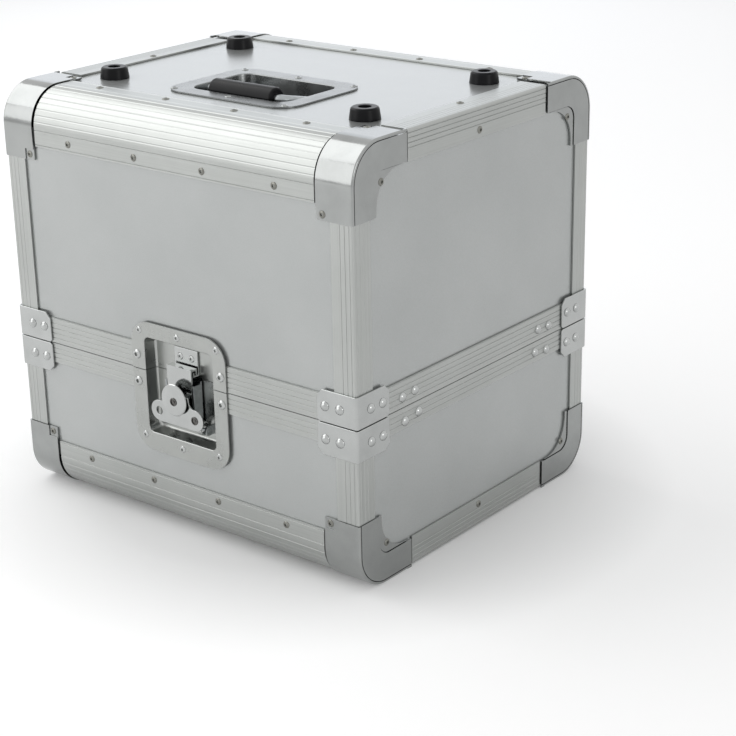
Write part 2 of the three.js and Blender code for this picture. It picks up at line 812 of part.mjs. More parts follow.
// Handle: a dish let into the lid, a bail that pivots in its ears, and a rubber grip
function handleDish() {
  const floor = caseHeight - handleDishDepth;
  const face = caseHeight - panelFace + fitGap + dishWall;
  const pan = (margin, radius, z0, z1) => {
    const reach = handleHalfWidth + margin;
    const side = handleHalfDepth + margin;
    const shape = roundedRectangle(
      -reach, reach, handleY - side, handleY + side, radius, radius);
    return alongZ(shape, z0, z1);
  };
  const pivotZ = caseHeight - bailPivotBelow;
  const ear = (x) => box(x, x + bailEarWidth, bailPivotY - bailEarHalfDepth,
    bailPivotY + bailEarHalfDepth, floor - dishWall / 2, pivotZ + bailEarRise);
  const shell = cut(
    join(
      pan(handleFlange, handleFlangeRadius, face - dishWall, face),
      pan(dishWall, handleDishRadius + dishWall, floor - dishWall, face),
    ),
    pan(0, handleDishRadius, floor, face + overrun),
  );
  const holes = rodX(bailRadius + bailPivotGap, -bailEarInner - bailEarWidth - fitGap,
    bailEarInner + bailEarWidth + fitGap, bailPivotY, pivotZ, roundSides);
  const ears = cut(join(ear(bailEarInner), ear(-bailEarInner - bailEarWidth)), holes);
  return join(shell, ears);
}

function bail() {
  const gripZ = caseHeight - gripBelow;
  const pivotZ = caseHeight - bailPivotBelow;
  const from = new THREE.Vector3(0, gripY, gripZ);
  const to = new THREE.Vector3(0, bailPivotY, pivotZ);
  const leg = (x) => {
    const geometry = new THREE.CylinderGeometry(
      bailRadius, bailRadius, from.distanceTo(to), smallSides);
    const direction = to.clone().sub(from).normalize();
    geometry.applyQuaternion(new THREE.Quaternion().setFromUnitVectors(yAxis, direction));
    geometry.translate(x, (from.y + to.y) / 2, (from.z + to.z) / 2);
    return solidOf(geometry);
  };
  const elbow = (x, place) => {
    const geometry = new THREE.SphereGeometry(bailRadius, smallSides, smallSides / 2);
    geometry.translate(x, place.y, place.z);
    return solidOf(geometry);
  };
  const sides = [-bailHalfWidth, bailHalfWidth].map((x) =>
    join(leg(x), elbow(x, from), elbow(x, to)));
  return join(
    rodX(bailRadius, -bailHalfWidth, bailHalfWidth, gripY, gripZ, smallSides),
    rodX(bailRadius, bailHalfWidth, bailPivotReach, bailPivotY, pivotZ, smallSides),
    rodX(bailRadius, -bailPivotReach, -bailHalfWidth, bailPivotY, pivotZ, smallSides),
    ...sides,
  );
}

function grip() {
  const bore = bailRadius + fitGap;
  const shoulder = gripRadius - gripRound;
  const points = [
    [bore, -gripHalfLength], [shoulder, -gripHalfLength], [gripRadius, -gripHalfLength + gripRound],
    [gripRadius, gripHalfLength - gripRound], [shoulder, gripHalfLength], [bore, gripHalfLength],
    [bore, -gripHalfLength],
  ].map(([r, along]) => new THREE.Vector2(r, along));
  const geometry = new THREE.LatheGeometry(points, roundSides);
  geometry.rotateZ(Math.PI / 2).translate(0, gripY, caseHeight - gripBelow);
  return solidOf(geometry);
}

// Tapered rubber foot with a screw hole, standing on the lid
function foot() {
  const points = [
    [0, 0], [footBaseRadius, 0], [footTopRadius + footRound / 2, footHeight - footRound],
    [footTopRadius - footRound / 2, footHeight], [footHoleRadius, footHeight],
    [footHoleRadius, footHeight - footHoleDepth], [0, footHeight - footHoleDepth],
  ].map(([r, along]) => new THREE.Vector2(r, along));
  const geometry = new THREE.LatheGeometry(points, roundSides);
  geometry.rotateX(Math.PI / 2).translate(footX, -footY, caseHeight - panelFace + fitGap);
  return solidOf(geometry);
}

// The assembly: right and front pieces are built, and the others mirror them
const tray = new THREE.Group();
const lid = new THREE.Group();
const latch = new THREE.Group();
const handle = new THREE.Group();

function place(group, name, solid, material, sides = [1, 1, 1]) {
  const mesh = new THREE.Mesh(geometryOf(solid), material);
  mesh.name = name;
  mesh.scale.set(...sides);
  if (sides[2] < 0) mesh.position.z = caseHeight;
  group.add(mesh);
}

const ends = [["right", 1], ["left", -1]];
const faces = [["front", 1], ["back", -1]];

place(tray, "bottom_panel", bottomPanel(), panelSkin);
place(tray, "tray_front_panel", cut(frontOf(trayLongPanel()), latchCutter()), panelSkin);
place(tray, "tray_back_panel", trayLongPanel(), panelSkin);
place(lid, "top_panel", topPanel(), panelSkin);
place(lid, "lid_front_panel", cut(frontOf(lidLongPanel()), latchCutter()), panelSkin);
place(lid, "lid_back_panel", lidLongPanel(), panelSkin);

for (const [face, y] of faces) {
  place(tray, `tray_${face}_edge_profile`, longProfile(), aluminium, [1, y, -1]);
  place(lid, `lid_${face}_edge_profile`, longProfile(), aluminium, [1, y, 1]);
}

for (const [end, x] of ends) {
  place(tray, `tray_${end}_panel`, trayEndPanel(), panelSkin, [x, 1, 1]);
  place(lid, `lid_${end}_panel`, lidEndPanel(), panelSkin, [x, 1, 1]);
  place(tray, `tray_${end}_end_profile`, endProfile(), aluminium, [x, 1, -1]);
  place(lid, `lid_${end}_end_profile`, endProfile(), aluminium, [x, 1, 1]);
  for (const [face, y] of faces) {
    place(tray, `tray_${face}_${end}_post`, trayPost(), aluminium, [x, y, 1]);
    place(lid, `lid_${face}_${end}_post`, lidPost(), aluminium, [x, y, 1]);
    place(tray, `tray_${face}_${end}_corner`, corner(), chrome, [x, y, -1]);
    place(lid, `lid_${face}_${end}_corner`, corner(), chrome, [x, y, 1]);
    place(tray, `tray_${face}_${end}_brace`, trayBrace(), chrome, [x, y, 1]);
    place(lid, `lid_${face}_${end}_brace`, lidBrace(), chrome, [x, y, 1]);
    place(lid, `foot_${face}_${end}`, foot(), rubber, [x, y, 1]);
  }
}

place(tray, "tray_rail", trayRail(), aluminium);
place(lid, "lid_rail", lidRail(), aluminium);
place(tray, "tray_hinge_leaf", trayHingeLeaf(), steel);
place(lid, "lid_hinge_leaf", lidHingeLeaf(), steel);

place(latch, "tray_latch_dish", trayDish(), chrome);
place(latch, "lid_latch_dish", lidDish(), chrome);
place(latch, "latch_keeper", keeper(), steel);
place(latch, "latch_carrier", carrier(), steel);
place(latch, "latch_drawbolt", drawbolt(), chrome);
place(latch, "latch_wing", wing(), chrome);
place(latch, "latch_spring", spring(), steel);

place(handle, "handle_dish", handleDish(), chrome);
place(handle, "handle_bail", bail(), steel);
place(handle, "handle_grip", grip(), rubber);

// The pressed corners stand lowest, so the whole case is raised by what they stand out
const recordCase = new THREE.Group();
const raised = new THREE.Group();
raised.position.z = cornerProud;
raised.add(tray, lid, latch, handle);
recordCase.add(raised);

export default recordCase;
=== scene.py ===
import math
from functools import partial
from itertools import product

import bmesh
import bpy
from bmesh.types import BMEdge, BMVert
from mathutils import Matrix, Vector


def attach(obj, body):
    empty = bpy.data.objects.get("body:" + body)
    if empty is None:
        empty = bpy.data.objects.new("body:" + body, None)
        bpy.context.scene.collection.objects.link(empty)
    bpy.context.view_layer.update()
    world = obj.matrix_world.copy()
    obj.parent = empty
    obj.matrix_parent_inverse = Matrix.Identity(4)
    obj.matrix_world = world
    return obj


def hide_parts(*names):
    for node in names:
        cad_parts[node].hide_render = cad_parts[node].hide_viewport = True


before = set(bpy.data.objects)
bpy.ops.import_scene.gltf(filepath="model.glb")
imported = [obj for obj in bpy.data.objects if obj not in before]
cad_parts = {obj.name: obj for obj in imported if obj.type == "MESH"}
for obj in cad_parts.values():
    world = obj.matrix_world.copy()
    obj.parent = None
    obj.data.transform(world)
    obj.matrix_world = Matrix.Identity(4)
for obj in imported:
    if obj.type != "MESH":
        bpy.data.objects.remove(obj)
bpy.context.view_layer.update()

# Boards
# Plywood, faced outside with a grey laminate that looks like brushed metal, and flocked black
# inside. They sit in the channels of the profiles, and their flat solids are shown as they are.
metre = 0.001
case_width = 375
case_depth = 320
case_height = 360
floor_lift = 1
board_inner_depth = 8.7
flock_margin = 0.5
board_grain = 0.7
flock_grain = 0.5
cloud_size = 90


def linear(hex_colour):
    """Turns an sRGB hex colour into the linear one that a socket takes."""
    shares = [int(hex_colour[i:i + 2], 16) / 255 for i in (0, 2, 4)]
    return [c / 12.92 if c <= 0.04045 else ((c + 0.055) / 1.055) ** 2.4 for c in shares] + [1]


def add_node(tree, kind, inputs, **settings):
    """Adds a node, sets it up, and fills each input with a value or a link. A link comes from a
    socket, or from the first output of a node."""
    node = tree.nodes.new("ShaderNode" + kind)
    for name, value in settings.items():
        setattr(node, name, value)
    for name, value in inputs.items():
        if isinstance(value, bpy.types.Node):
            value = value.outputs[0]
        if isinstance(value, bpy.types.NodeSocket):
            tree.links.new(value, node.inputs[name])
        else:
            node.inputs[name].default_value = value
    return node


def start_nodes(owner):
    """Clears the nodes of a material or a world, and returns what adds nodes there."""
    owner.use_nodes = True
    owner.node_tree.nodes.clear()
    return partial(add_node, owner.node_tree)


def start_material(name):
    """An empty material, what adds its nodes, and the object's own coordinates in metres."""
    material = bpy.data.materials.new(name)
    add = start_nodes(material)
    return material, add, add("TexCoord", {}).outputs["Object"]


def make_board_material():
    """Melamine laminate, pressed with a metal-look paper: a soft sheen over fine grey grain.
    The inner faces are flocked, so they are black, dull and a little fuzzy."""
    material, add, place = start_material("laminated_plywood")
    grain = add("TexNoise", {
        "Vector": place, "Scale": 1 / (board_grain * metre), "Detail": 3.0, "Roughness": 0.6})
    clouds = add("TexNoise", {
        "Vector": place, "Scale": 1 / (cloud_size * metre), "Detail": 4.0, "Roughness": 0.55})
    tint = add("Mix", {0: grain, 6: linear("b2b4b3"), 7: linear("c6c9c8")}, data_type="RGBA")
    shade = add("Mix", {0: clouds, 6: linear("e9eaea"), 7: linear("ffffff")}, data_type="RGBA")
    colour = add("Mix", {
        0: 1.0, 6: tint.outputs[2], 7: shade.outputs[2]}, data_type="RGBA", blend_type="MULTIPLY")
    rough = add("MapRange", {"Value": clouds, "To Min": 0.19, "To Max": 0.29})
    bump = add("Bump", {"Height": grain, "Strength": 0.12, "Distance": 0.1 * metre})
    laminate = add("BsdfPrincipled", {
        "Base Color": colour.outputs[2], "Roughness": rough, "Metallic": 0.5, "Normal": bump})
    fluff = add("TexNoise", {
        "Vector": place, "Scale": 1 / (flock_grain * metre), "Detail": 4.0, "Roughness": 0.7})
    nap = add("Mix", {0: fluff, 6: linear("0f1011"), 7: linear("2c2d30")}, data_type="RGBA")
    pile = add("Bump", {"Height": fluff, "Strength": 0.6, "Distance": 0.3 * metre})
    flock = add("BsdfPrincipled", {
        "Base Color": nap.outputs[2], "Roughness": 0.95, "Sheen Weight": 0.4, "Normal": pile})
    middle = add("VectorMath", {
        0: place, 1: (0, 0, (case_height / 2 + floor_lift) * metre)}, operation="SUBTRACT")
    away = add("VectorMath", {0: middle}, operation="ABSOLUTE")
    axes = add("SeparateXYZ", {0: away})
    inside = 1.0
    for axis, size in (("X", case_width), ("Y", case_depth), ("Z", case_height)):
        limit = (size / 2 - board_inner_depth + flock_margin) * metre
        within = add("Math", {0: axes.outputs[axis], 1: limit}, operation="LESS_THAN")
        inside = add("Math", {0: within, 1: inside}, operation="MULTIPLY")
    both = add("MixShader", {0: inside, 1: laminate, 2: flock})
    add("OutputMaterial", {"Surface": both})
    return material


def refinish(node, material):
    """Gives a solid of the frame its looks."""
    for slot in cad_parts[node].material_slots:
        slot.link = "OBJECT"
        slot.material = material


board_material = make_board_material()
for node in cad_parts:
    if node.endswith("panel"):
        refinish(node, board_material)

# Rounded edge profiles
# Extruded aluminium, satin anodised, one along each long edge of the case. A quarter round
# with fine lines joins two flanges, each held to its board by four rivets.
rounding = 32
edge_flange = 15
profile_wall = 1.4
profile_half_length = 151.5
lines_on_rounding = 9
steps_per_line = 8
round_line_depth = 0.3
line_width = 0.6
line_depth = 0.4
line_from_edge = 1.6
line_from_rounding = 1.2
leg_margin = 0.6
channel_depth = 9
channel_flange = 8
channel_steps = 24
drawing_pitch = 0.45
drawing_length = 160
merge_distance = 0.005
cut_tolerance = 0.0001
near = 0.01
sharp_angle = math.radians(24)
soft_angle = math.radians(40)
halves = ("lid", "tray")
faces = ("front", "back")
ends = ("left", "right")


def make_aluminium_material(name, along):
    """Satin anodised aluminium: extruding leaves streaks along the bar, and anodising a soft
    grey gloss. The streaks are drawn coarser than real so that they show."""
    material, add, place = start_material(name)
    pitch = [1 / (drawing_pitch * metre)] * 3
    for axis in along:
        pitch["XYZ".index(axis)] = 1 / (drawing_length * metre)
    stretched = add("Mapping", {"Vector": place, "Scale": pitch})
    streaks = add("TexNoise", {"Vector": stretched, "Scale": 1.0, "Detail": 3.0, "Roughness": 0.6})
    clouds = add("TexNoise", {
        "Vector": place, "Scale": 1 / (cloud_size * metre), "Detail": 4.0, "Roughness": 0.6})
    colour = add("Mix", {0: streaks, 6: linear("a6a8a6"), 7: linear("c2c4c2")}, data_type="RGBA")
    wear = add("Mix", {0: clouds, 6: linear("e6e7e6"), 7: linear("ffffff")}, data_type="RGBA")
    worn = add("Mix", {
        0: 1.0, 6: colour.outputs[2], 7: wear.outputs[2]}, data_type="RGBA", blend_type="MULTIPLY")
    rough = add("MapRange", {"Value": streaks, "To Min": 0.24, "To Max": 0.42})
    bump = add("Bump", {"Height": streaks, "Strength": 0.15, "Distance": 0.05 * metre})
    metal = add("BsdfPrincipled", {
        "Base Color": worn.outputs[2], "Metallic": 1.0, "Roughness": rough, "Normal": bump})
    add("OutputMaterial", {"Surface": metal})
    return material


def mirror_shape(shape, half, face, end):
    """Turns a shape made for the lid's front right into the one for another place."""
    signs = (1 if end == "right" else -1, 1 if face == "front" else -1, 1 if half == "lid" else -1)
    bmesh.ops.scale(shape, vec=signs, verts=shape.verts)
    if half == "tray":
        bmesh.ops.translate(shape, vec=(0, 0, case_height), verts=shape.verts)
    if signs.count(-1) % 2:
        bmesh.ops.reverse_faces(shape, faces=shape.faces)


def face_away(shape, inside):
    """Turns a sheet so that its faces look away from a point inside the case."""
    outwards = sum((face.calc_center_median() - inside).dot(face.normal) * face.calc_area()
                   for face in shape.faces)
    if outwards < 0:
        bmesh.ops.reverse_faces(shape, faces=shape.faces)


def as_mesh(name, shape):
    """Turns a shape into a mesh and frees it."""
    mesh = bpy.data.meshes.new(name)
    shape.to_mesh(mesh)
    shape.free()
    return mesh


def add_object(name, data):
    """Puts a new object in the scene."""
    added = bpy.data.objects.new(name, data)
    bpy.context.scene.collection.objects.link(added)
    return added


def make_piece(name, shape, body, material, wall=0, softening=0, replaced=()):
    """Makes a shape in millimetres a piece. A shape with a wall is a sheet, thickened inwards."""
    bmesh.ops.remove_doubles(shape, verts=shape.verts, dist=merge_distance)
    shape.normal_update()
    if wall:
        face_away(shape, Vector((0, 0, case_height / 2)))
        bmesh.ops.solidify(shape, geom=shape.faces[:], thickness=wall)
    bmesh.ops.recalc_face_normals(shape, faces=shape.faces)
    bmesh.ops.translate(shape, vec=(0, 0, floor_lift), verts=shape.verts)
    bmesh.ops.scale(shape, vec=(metre, metre, metre), verts=shape.verts)
    for face in shape.faces:
        face.smooth = True
    mesh = as_mesh(name, shape)
    mesh.set_sharp_from_angle(angle=sharp_angle)
    mesh.materials.append(material)
    piece = add_object(name, mesh)
    if softening:
        soften = piece.modifiers.new("edges", "BEVEL")
        soften.width = softening * metre
        soften.segments = 2
        soften.limit_method = "ANGLE"
        soften.angle_limit = soft_angle
        soften.harden_normals = True
    flatten = piece.modifiers.new("flat_faces", "WEIGHTED_NORMAL")
    flatten.keep_sharp = True
    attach(piece, body)
    if replaced:
        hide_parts(*replaced)


def pick(kind, items):
    """The items that are of a kind, such as corners or edges."""
    return [item for item in items if isinstance(item, kind)]


def faces_where(shape, chosen):
    """The faces whose middle passes a test."""
    return [face for face in shape.faces if chosen(face.calc_center_median())]


def chain(shape, points):
    """A line of edges through points."""
    corners = [shape.verts.new(point) for point in points]
    for first, second in zip(corners, corners[1:]):
        shape.edges.new((first, second))
    return corners


def sweep(shape, edges, direction):
    """Draws edges along a direction into faces, and returns the new edges."""
    made = bmesh.ops.extrude_edge_only(shape, edges=edges)["geom"]
    bmesh.ops.translate(shape, verts=pick(BMVert, made), vec=direction)
    return pick(BMEdge, made)


def turn_corner(shape, start, centre, axis, angle, steps):
    """Draws a round from a corner, about a centre, and returns the corner that ends it."""
    made = bmesh.ops.spin(shape, geom=[start], cent=centre, axis=axis, angle=angle, steps=steps,
                          use_duplicate=False)["geom_last"]
    return pick(BMVert, made)[0]


def cut(shape, place, normal, chosen=None, **settings):
    """Cuts a shape, or only those of its faces whose middle passes a test, along a plane."""
    geometry = shape.verts[:] + shape.edges[:] + shape.faces[:]
    if chosen:
        geometry = list({item for face in faces_where(shape, chosen)
                         for item in [*face.verts, *face.edges, face]})
    bmesh.ops.bisect_plane(shape, geom=geometry, dist=cut_tolerance, plane_co=place,
                           plane_no=normal, **settings)


def press_lines(shape, along, places, inwards, chosen):
    """Presses V lines into chosen faces, at places counted along a direction."""
    direction = Vector(along)
    for place in places:
        for side in (-line_width / 2, 0, line_width / 2):
            cut(shape, direction * (place + side), direction, chosen)
        middle = {vert for face in faces_where(shape, chosen) for vert in face.verts
                  if abs(vert.co.dot(direction) - place) < near}
        bmesh.ops.translate(shape, verts=list(middle), vec=Vector(inwards) * line_depth)


def rounded_profile():
    """The sheet of a profile: two flanges and a lined rounding, and the channel behind them."""
    shape = bmesh.new()
    front = -case_depth / 2
    left = -profile_half_length
    arc_z = case_height - rounding
    arc_y = front + rounding
    start = chain(shape, [(left, front, arc_z - edge_flange), (left, front, arc_z)])[1]
    centre = Vector((left, arc_y, arc_z))
    steps = lines_on_rounding * steps_per_line
    last = turn_corner(shape, start, centre, (1, 0, 0), -math.pi / 2, steps)
    end = shape.verts.new((left, arc_y + edge_flange, case_height))
    shape.edges.new((last, end))
    on_lines = []
    for vert in shape.verts:
        arm = vert.co - centre
        step = round(math.atan2(arm.z, -arm.y) / (math.pi / 2) * steps)
        on_round = abs(arm.length - rounding) < near
        if on_round and 0 < step < steps and step % steps_per_line == 0:
            on_lines.append(vert)
    inner_share = 1 - round_line_depth / rounding
    bmesh.ops.scale(shape, verts=on_lines, vec=(1, inner_share, inner_share),
                    space=Matrix.Translation(-centre))
    inner_y = front + channel_depth
    inner = chain(shape, [(left, inner_y, arc_z - channel_flange), (left, inner_y, arc_z)])[1]
    inner_end = turn_corner(shape, inner, centre, (1, 0, 0), -math.pi / 2, channel_steps)
    tail = shape.verts.new((left, arc_y + channel_flange, case_height - channel_depth))
    shape.edges.new((inner_end, tail))
    sweep(shape, shape.edges[:], (2 * profile_half_length, 0, 0))
    press_lines(shape, (0, 0, 1),
                [arc_z - edge_flange + line_from_edge, arc_z - line_from_rounding], (0, 1, 0),
                lambda middle: middle.y < front + leg_margin)
    press_lines(shape, (0, 1, 0),
                [arc_y + line_from_rounding, arc_y + edge_flange - line_from_edge], (0, 0, -1),
                lambda middle: middle.z > case_height - leg_margin)
    return shape


aluminium_x = make_aluminium_material("anodised_aluminium_long", "X")
for half, face in product(halves, faces):
    shape = rounded_profile()
    mirror_shape(shape, half, face, "right")
    make_piece(f"{half}_{face}_rounded_profile", shape, half, aluminium_x,
               wall=profile_wall, replaced=[f"{half}_{face}_edge_profile"])

# Uprights
# Aluminium angle with fine lines near its edge, one at each corner of the tray and of the lid.
# It is cut off square where the pressed corner and the closure rail begin.
upright_front_leg = 21.5
upright_side_leg = 20
upright_bend = 1.6
upright_line_places = (3.6, 8, 12.4)
corner_reach = 59
tray_rail_height = 18
lid_rail_height = 23
split_height = 140
joint_gap = 0.3


def bevel(shape, items, offset, steps=4, affect="EDGES"):
    """Rounds edges or corners."""
    bmesh.ops.bevel(shape, geom=items, offset=offset, offset_type="OFFSET", segments=steps,
                    profile=0.5, affect=affect, material=-1)


def ribbed_angle(corner, first_leg, second_leg, run, line_places):
    """The sheet of an angle bar: two legs from a corner, drawn along a run, lined and folded."""
    shape = bmesh.new()
    corner, first, second = Vector(corner), Vector(first_leg), Vector(second_leg)
    chain(shape, [corner + first, corner, corner + second])
    sweep(shape, shape.edges[:], run)
    ways = (first.normalized(), second.normalized())
    fold = [edge for edge in shape.edges if all(
        abs((vert.co - corner).dot(way)) < near for vert in edge.verts for way in ways)]
    for along, inwards in (ways, ways[::-1]):
        press_lines(shape, along, [corner.dot(along) + place for place in line_places], inwards,
                    lambda middle: (middle - corner).dot(inwards) < leg_margin)
    bevel(shape, fold, upright_bend)
    return shape


aluminium_z = make_aluminium_material("anodised_aluminium_upright", "Z")
upright_top = case_height - corner_reach - joint_gap
for half, face, end in product(halves, faces, ends):
    rail_end = split_height + lid_rail_height + joint_gap
    if half == "tray":
        rail_end = case_height - split_height + tray_rail_height + joint_gap
    shape = ribbed_angle((case_width / 2, -case_depth / 2, rail_end), (-upright_front_leg, 0, 0),
                         (0, upright_side_leg, 0), (0, 0, upright_top - rail_end),
                         upright_line_places)
    mirror_shape(shape, half, face, end)
    make_piece(f"{half}_{face}_{end}_upright", shape, half, aluminium_z,
               wall=profile_wall, replaced=[f"{half}_{face}_{end}_post"])

# Square end profiles
# Aluminium angle along the top and the bottom of each end face, ribbed next to its edge,
# between two pressed corners. One rivet holds its side leg in the middle.
end_profile_leg = 25
end_profile_half_length = 93
end_line_places = (3.2, 7, 10.8, 14.6)

aluminium_y = make_aluminium_material("anodised_aluminium_end", "Y")
for half, end in product(halves, ends):
    shape = ribbed_angle((case_width / 2, -end_profile_half_length, case_height),
                         (-end_profile_leg, 0, 0), (0, 0, -end_profile_leg),
                         (0, 2 * end_profile_half_length, 0), end_line_places)
    mirror_shape(shape, half, "front", end)
    make_piece(f"{half}_{end}_square_profile", shape, half, aluminium_y,
               wall=profile_wall, replaced=[f"{half}_{end}_end_profile"])

# Closure rails
# Two aluminium frames that meet all round at the split. The lid's has a tongue that drops
# into the tray's groove. Their fine lines run level, and the latch's dish is let into both.
rail_line_pitch = 4.4
rail_inner_depth = 10.4
rail_inner = rail_inner_depth - profile_wall
rail_inner_height = 10
rail_floor_drop = 4
split_gap = 0.3
tongue_inset = 4.2
tongue_width = 2
tongue_far = tongue_inset + tongue_width
tongue_height = 2.5
tongue_tip_gap = 0.3
groove_side_gap = 0.8
groove_floor_rise = 0.1
latch_x = 2
latch_cut_half_width = 39.8
rail_front_depth = 20


def framed_section(points):
    """A closed frame round the case whose section is given as pairs of inset and height."""
    shape = bmesh.new()
    rings = []
    for inset, height in points:
        x = case_width / 2 - inset
        y = case_depth / 2 - inset
        corners = [shape.verts.new(place) for place in
                   ((-x, -y, height), (x, -y, height), (x, y, height), (-x, y, height))]
        rings.append([shape.edges.new((corners[i], corners[(i + 1) % 4])) for i in range(4)])
    for ring, following in zip(rings, rings[1:] + rings[:1]):
        bmesh.ops.bridge_loops(shape, edges=ring + following)
    return shape


def lined_side(low, high, first):
    """Section points up a rail's outer face, with its V lines."""
    points = [(0, low)]
    place = first
    while place + line_width < high:
        points += [(0, place - line_width / 2), (line_depth, place), (0, place + line_width / 2)]
        place += rail_line_pitch
    return points + [(0, high)]


def cut_for_latch(shape):
    """Opens a rail's front side where the latch's dish is let in, and closes the two cuts."""
    back = -case_depth / 2 + rail_front_depth
    for side in (-1, 1):
        cut(shape, (latch_x + side * latch_cut_half_width, 0, 0), (1, 0, 0),
            lambda middle: middle.y < back)
    gone = faces_where(shape, lambda middle: middle.y < back
                       and abs(middle.x - latch_x) < latch_cut_half_width)
    bmesh.ops.delete(shape, geom=gone, context="FACES")
    open_edges = [edge for edge in shape.edges if edge.is_boundary]
    bmesh.ops.edgeloop_fill(shape, edges=open_edges)


def tray_rail():
    """The tray's rail, with the groove in its top."""
    top = split_height - split_gap
    low = split_height - tray_rail_height
    groove_near = tongue_inset - groove_side_gap
    groove_far = tongue_far + groove_side_gap
    groove_low = top - tongue_height + groove_floor_rise
    inner_low = top - rail_inner_height
    return framed_section(lined_side(low, top, low + rail_line_pitch) + [
        (groove_near, top), (groove_near, groove_low), (groove_far, groove_low),
        (groove_far, top), (rail_inner_depth, top), (rail_inner_depth, inner_low),
        (rail_inner, inner_low), (rail_inner, top - rail_floor_drop),
        (profile_wall, top - rail_floor_drop), (profile_wall, low)])


def lid_rail():
    """The lid's rail, with the tongue under its foot."""
    low = split_height + split_gap
    top = split_height + lid_rail_height
    foot = low + profile_wall
    inner_top = low + rail_inner_height
    tip = low - tongue_height + tongue_tip_gap
    return framed_section(lined_side(low, top, low + rail_line_pitch) + [
        (profile_wall, top), (profile_wall, foot), (rail_inner, foot), (rail_inner, inner_top),
        (rail_inner_depth, inner_top), (rail_inner_depth, low), (tongue_far, low),
        (tongue_far, tip), (tongue_inset, tip), (tongue_inset, low)])


aluminium_xy = make_aluminium_material("anodised_aluminium_rail", "XY")
for half, shape in (("tray", tray_rail()), ("lid", lid_rail())):
    cut_for_latch(shape)
    make_piece(f"{half}_closure_rail", shape, half, aluminium_xy,
               replaced=[f"{half}_rail"])

# Pressed corners
# Steel pressed to shape and chromed: a band over the end of the rounding, and a plate on the
# end face whose raised rim curves round a sunk web. A rivet holds each leg and the web.
press_softening = 0.25
corner_proud = 1
corner_wall = 1.5
band_width = 34
plate_reach = 65
rim_width = 24
rim_radius = 12
rim_rise = 0.8
plate_margin = 1
web_leg = 28
web_radius = 29
web_inset = 0.8
web_overlap = 1
round_steps = 20
fold_radius = 1.3
seam = (2.2, 2.9)
web_gap = 0.5
rivet_pad = 4.6
rivet_pad_depth = 0.9
corner_rivet_inset = 28.5
corner_rivet_reach = 54.5
smudge_size = 22
scratch_pitch = 0.5
scratch_length = 14


def make_plating(name, dark, light, gloss, smudged):
    """Plated pressed steel: rippled a little by the press, with fine scratches, and smudges
    that dull it in places. Two roughnesses say how glossy it is where it is clean and smudged."""
    material, add, place = start_material(name)
    smudges = add("TexNoise", {
        "Vector": place, "Scale": 1 / (smudge_size * metre), "Detail": 5.0, "Roughness": 0.6})
    bent = add("VectorRotate", {"Vector": place, "Angle": 0.6, "Axis": (0.4, 0.5, 1)})
    across, along = 1 / (scratch_pitch * metre), 1 / (scratch_length * metre)
    stretched = add("Mapping", {"Vector": bent, "Scale": (across, along, across)})
    scratches = add("TexNoise", {
        "Vector": stretched, "Scale": 1.0, "Detail": 2.0, "Roughness": 0.5})
    fine = add("MapRange", {
        "Value": scratches, "From Min": 0.55, "From Max": 0.75, "To Min": 0.0, "To Max": 0.12})
    dull = add("MapRange", {
        "Value": smudges, "From Min": 0.35, "From Max": 0.75, "To Min": gloss, "To Max": smudged})
    rough = add("Math", {0: fine, 1: dull}, operation="ADD")
    colour = add("Mix", {0: smudges, 6: linear(dark), 7: linear(light)}, data_type="RGBA")
    ripple = add("Bump", {"Height": smudges, "Strength": 0.25, "Distance": 0.6 * metre})
    metal = add("BsdfPrincipled", {
        "Base Color": colour.outputs[2], "Metallic": 1.0, "Roughness": rough, "Normal": ripple})
    add("OutputMaterial", {"Surface": metal})
    return material


def path_with_round(shape, start, corner, end, radius):
    """Draws from start towards a corner in a YZ plane, round it, and on to the end. Returns the
    edges and the last corner."""
    known = set(shape.edges)
    start, corner, end = Vector(start), Vector(corner), Vector(end)
    before = (start - corner).normalized()
    after = (end - corner).normalized()
    centre = corner + (before + after) * radius
    second = chain(shape, [start, corner + before * radius])[1]
    axis = before.cross(after)
    third = turn_corner(shape, second, centre, axis, -math.pi / 2, round_steps)
    last = shape.verts.new(end)
    shape.edges.new((third, last))
    return [edge for edge in shape.edges if edge not in known], last


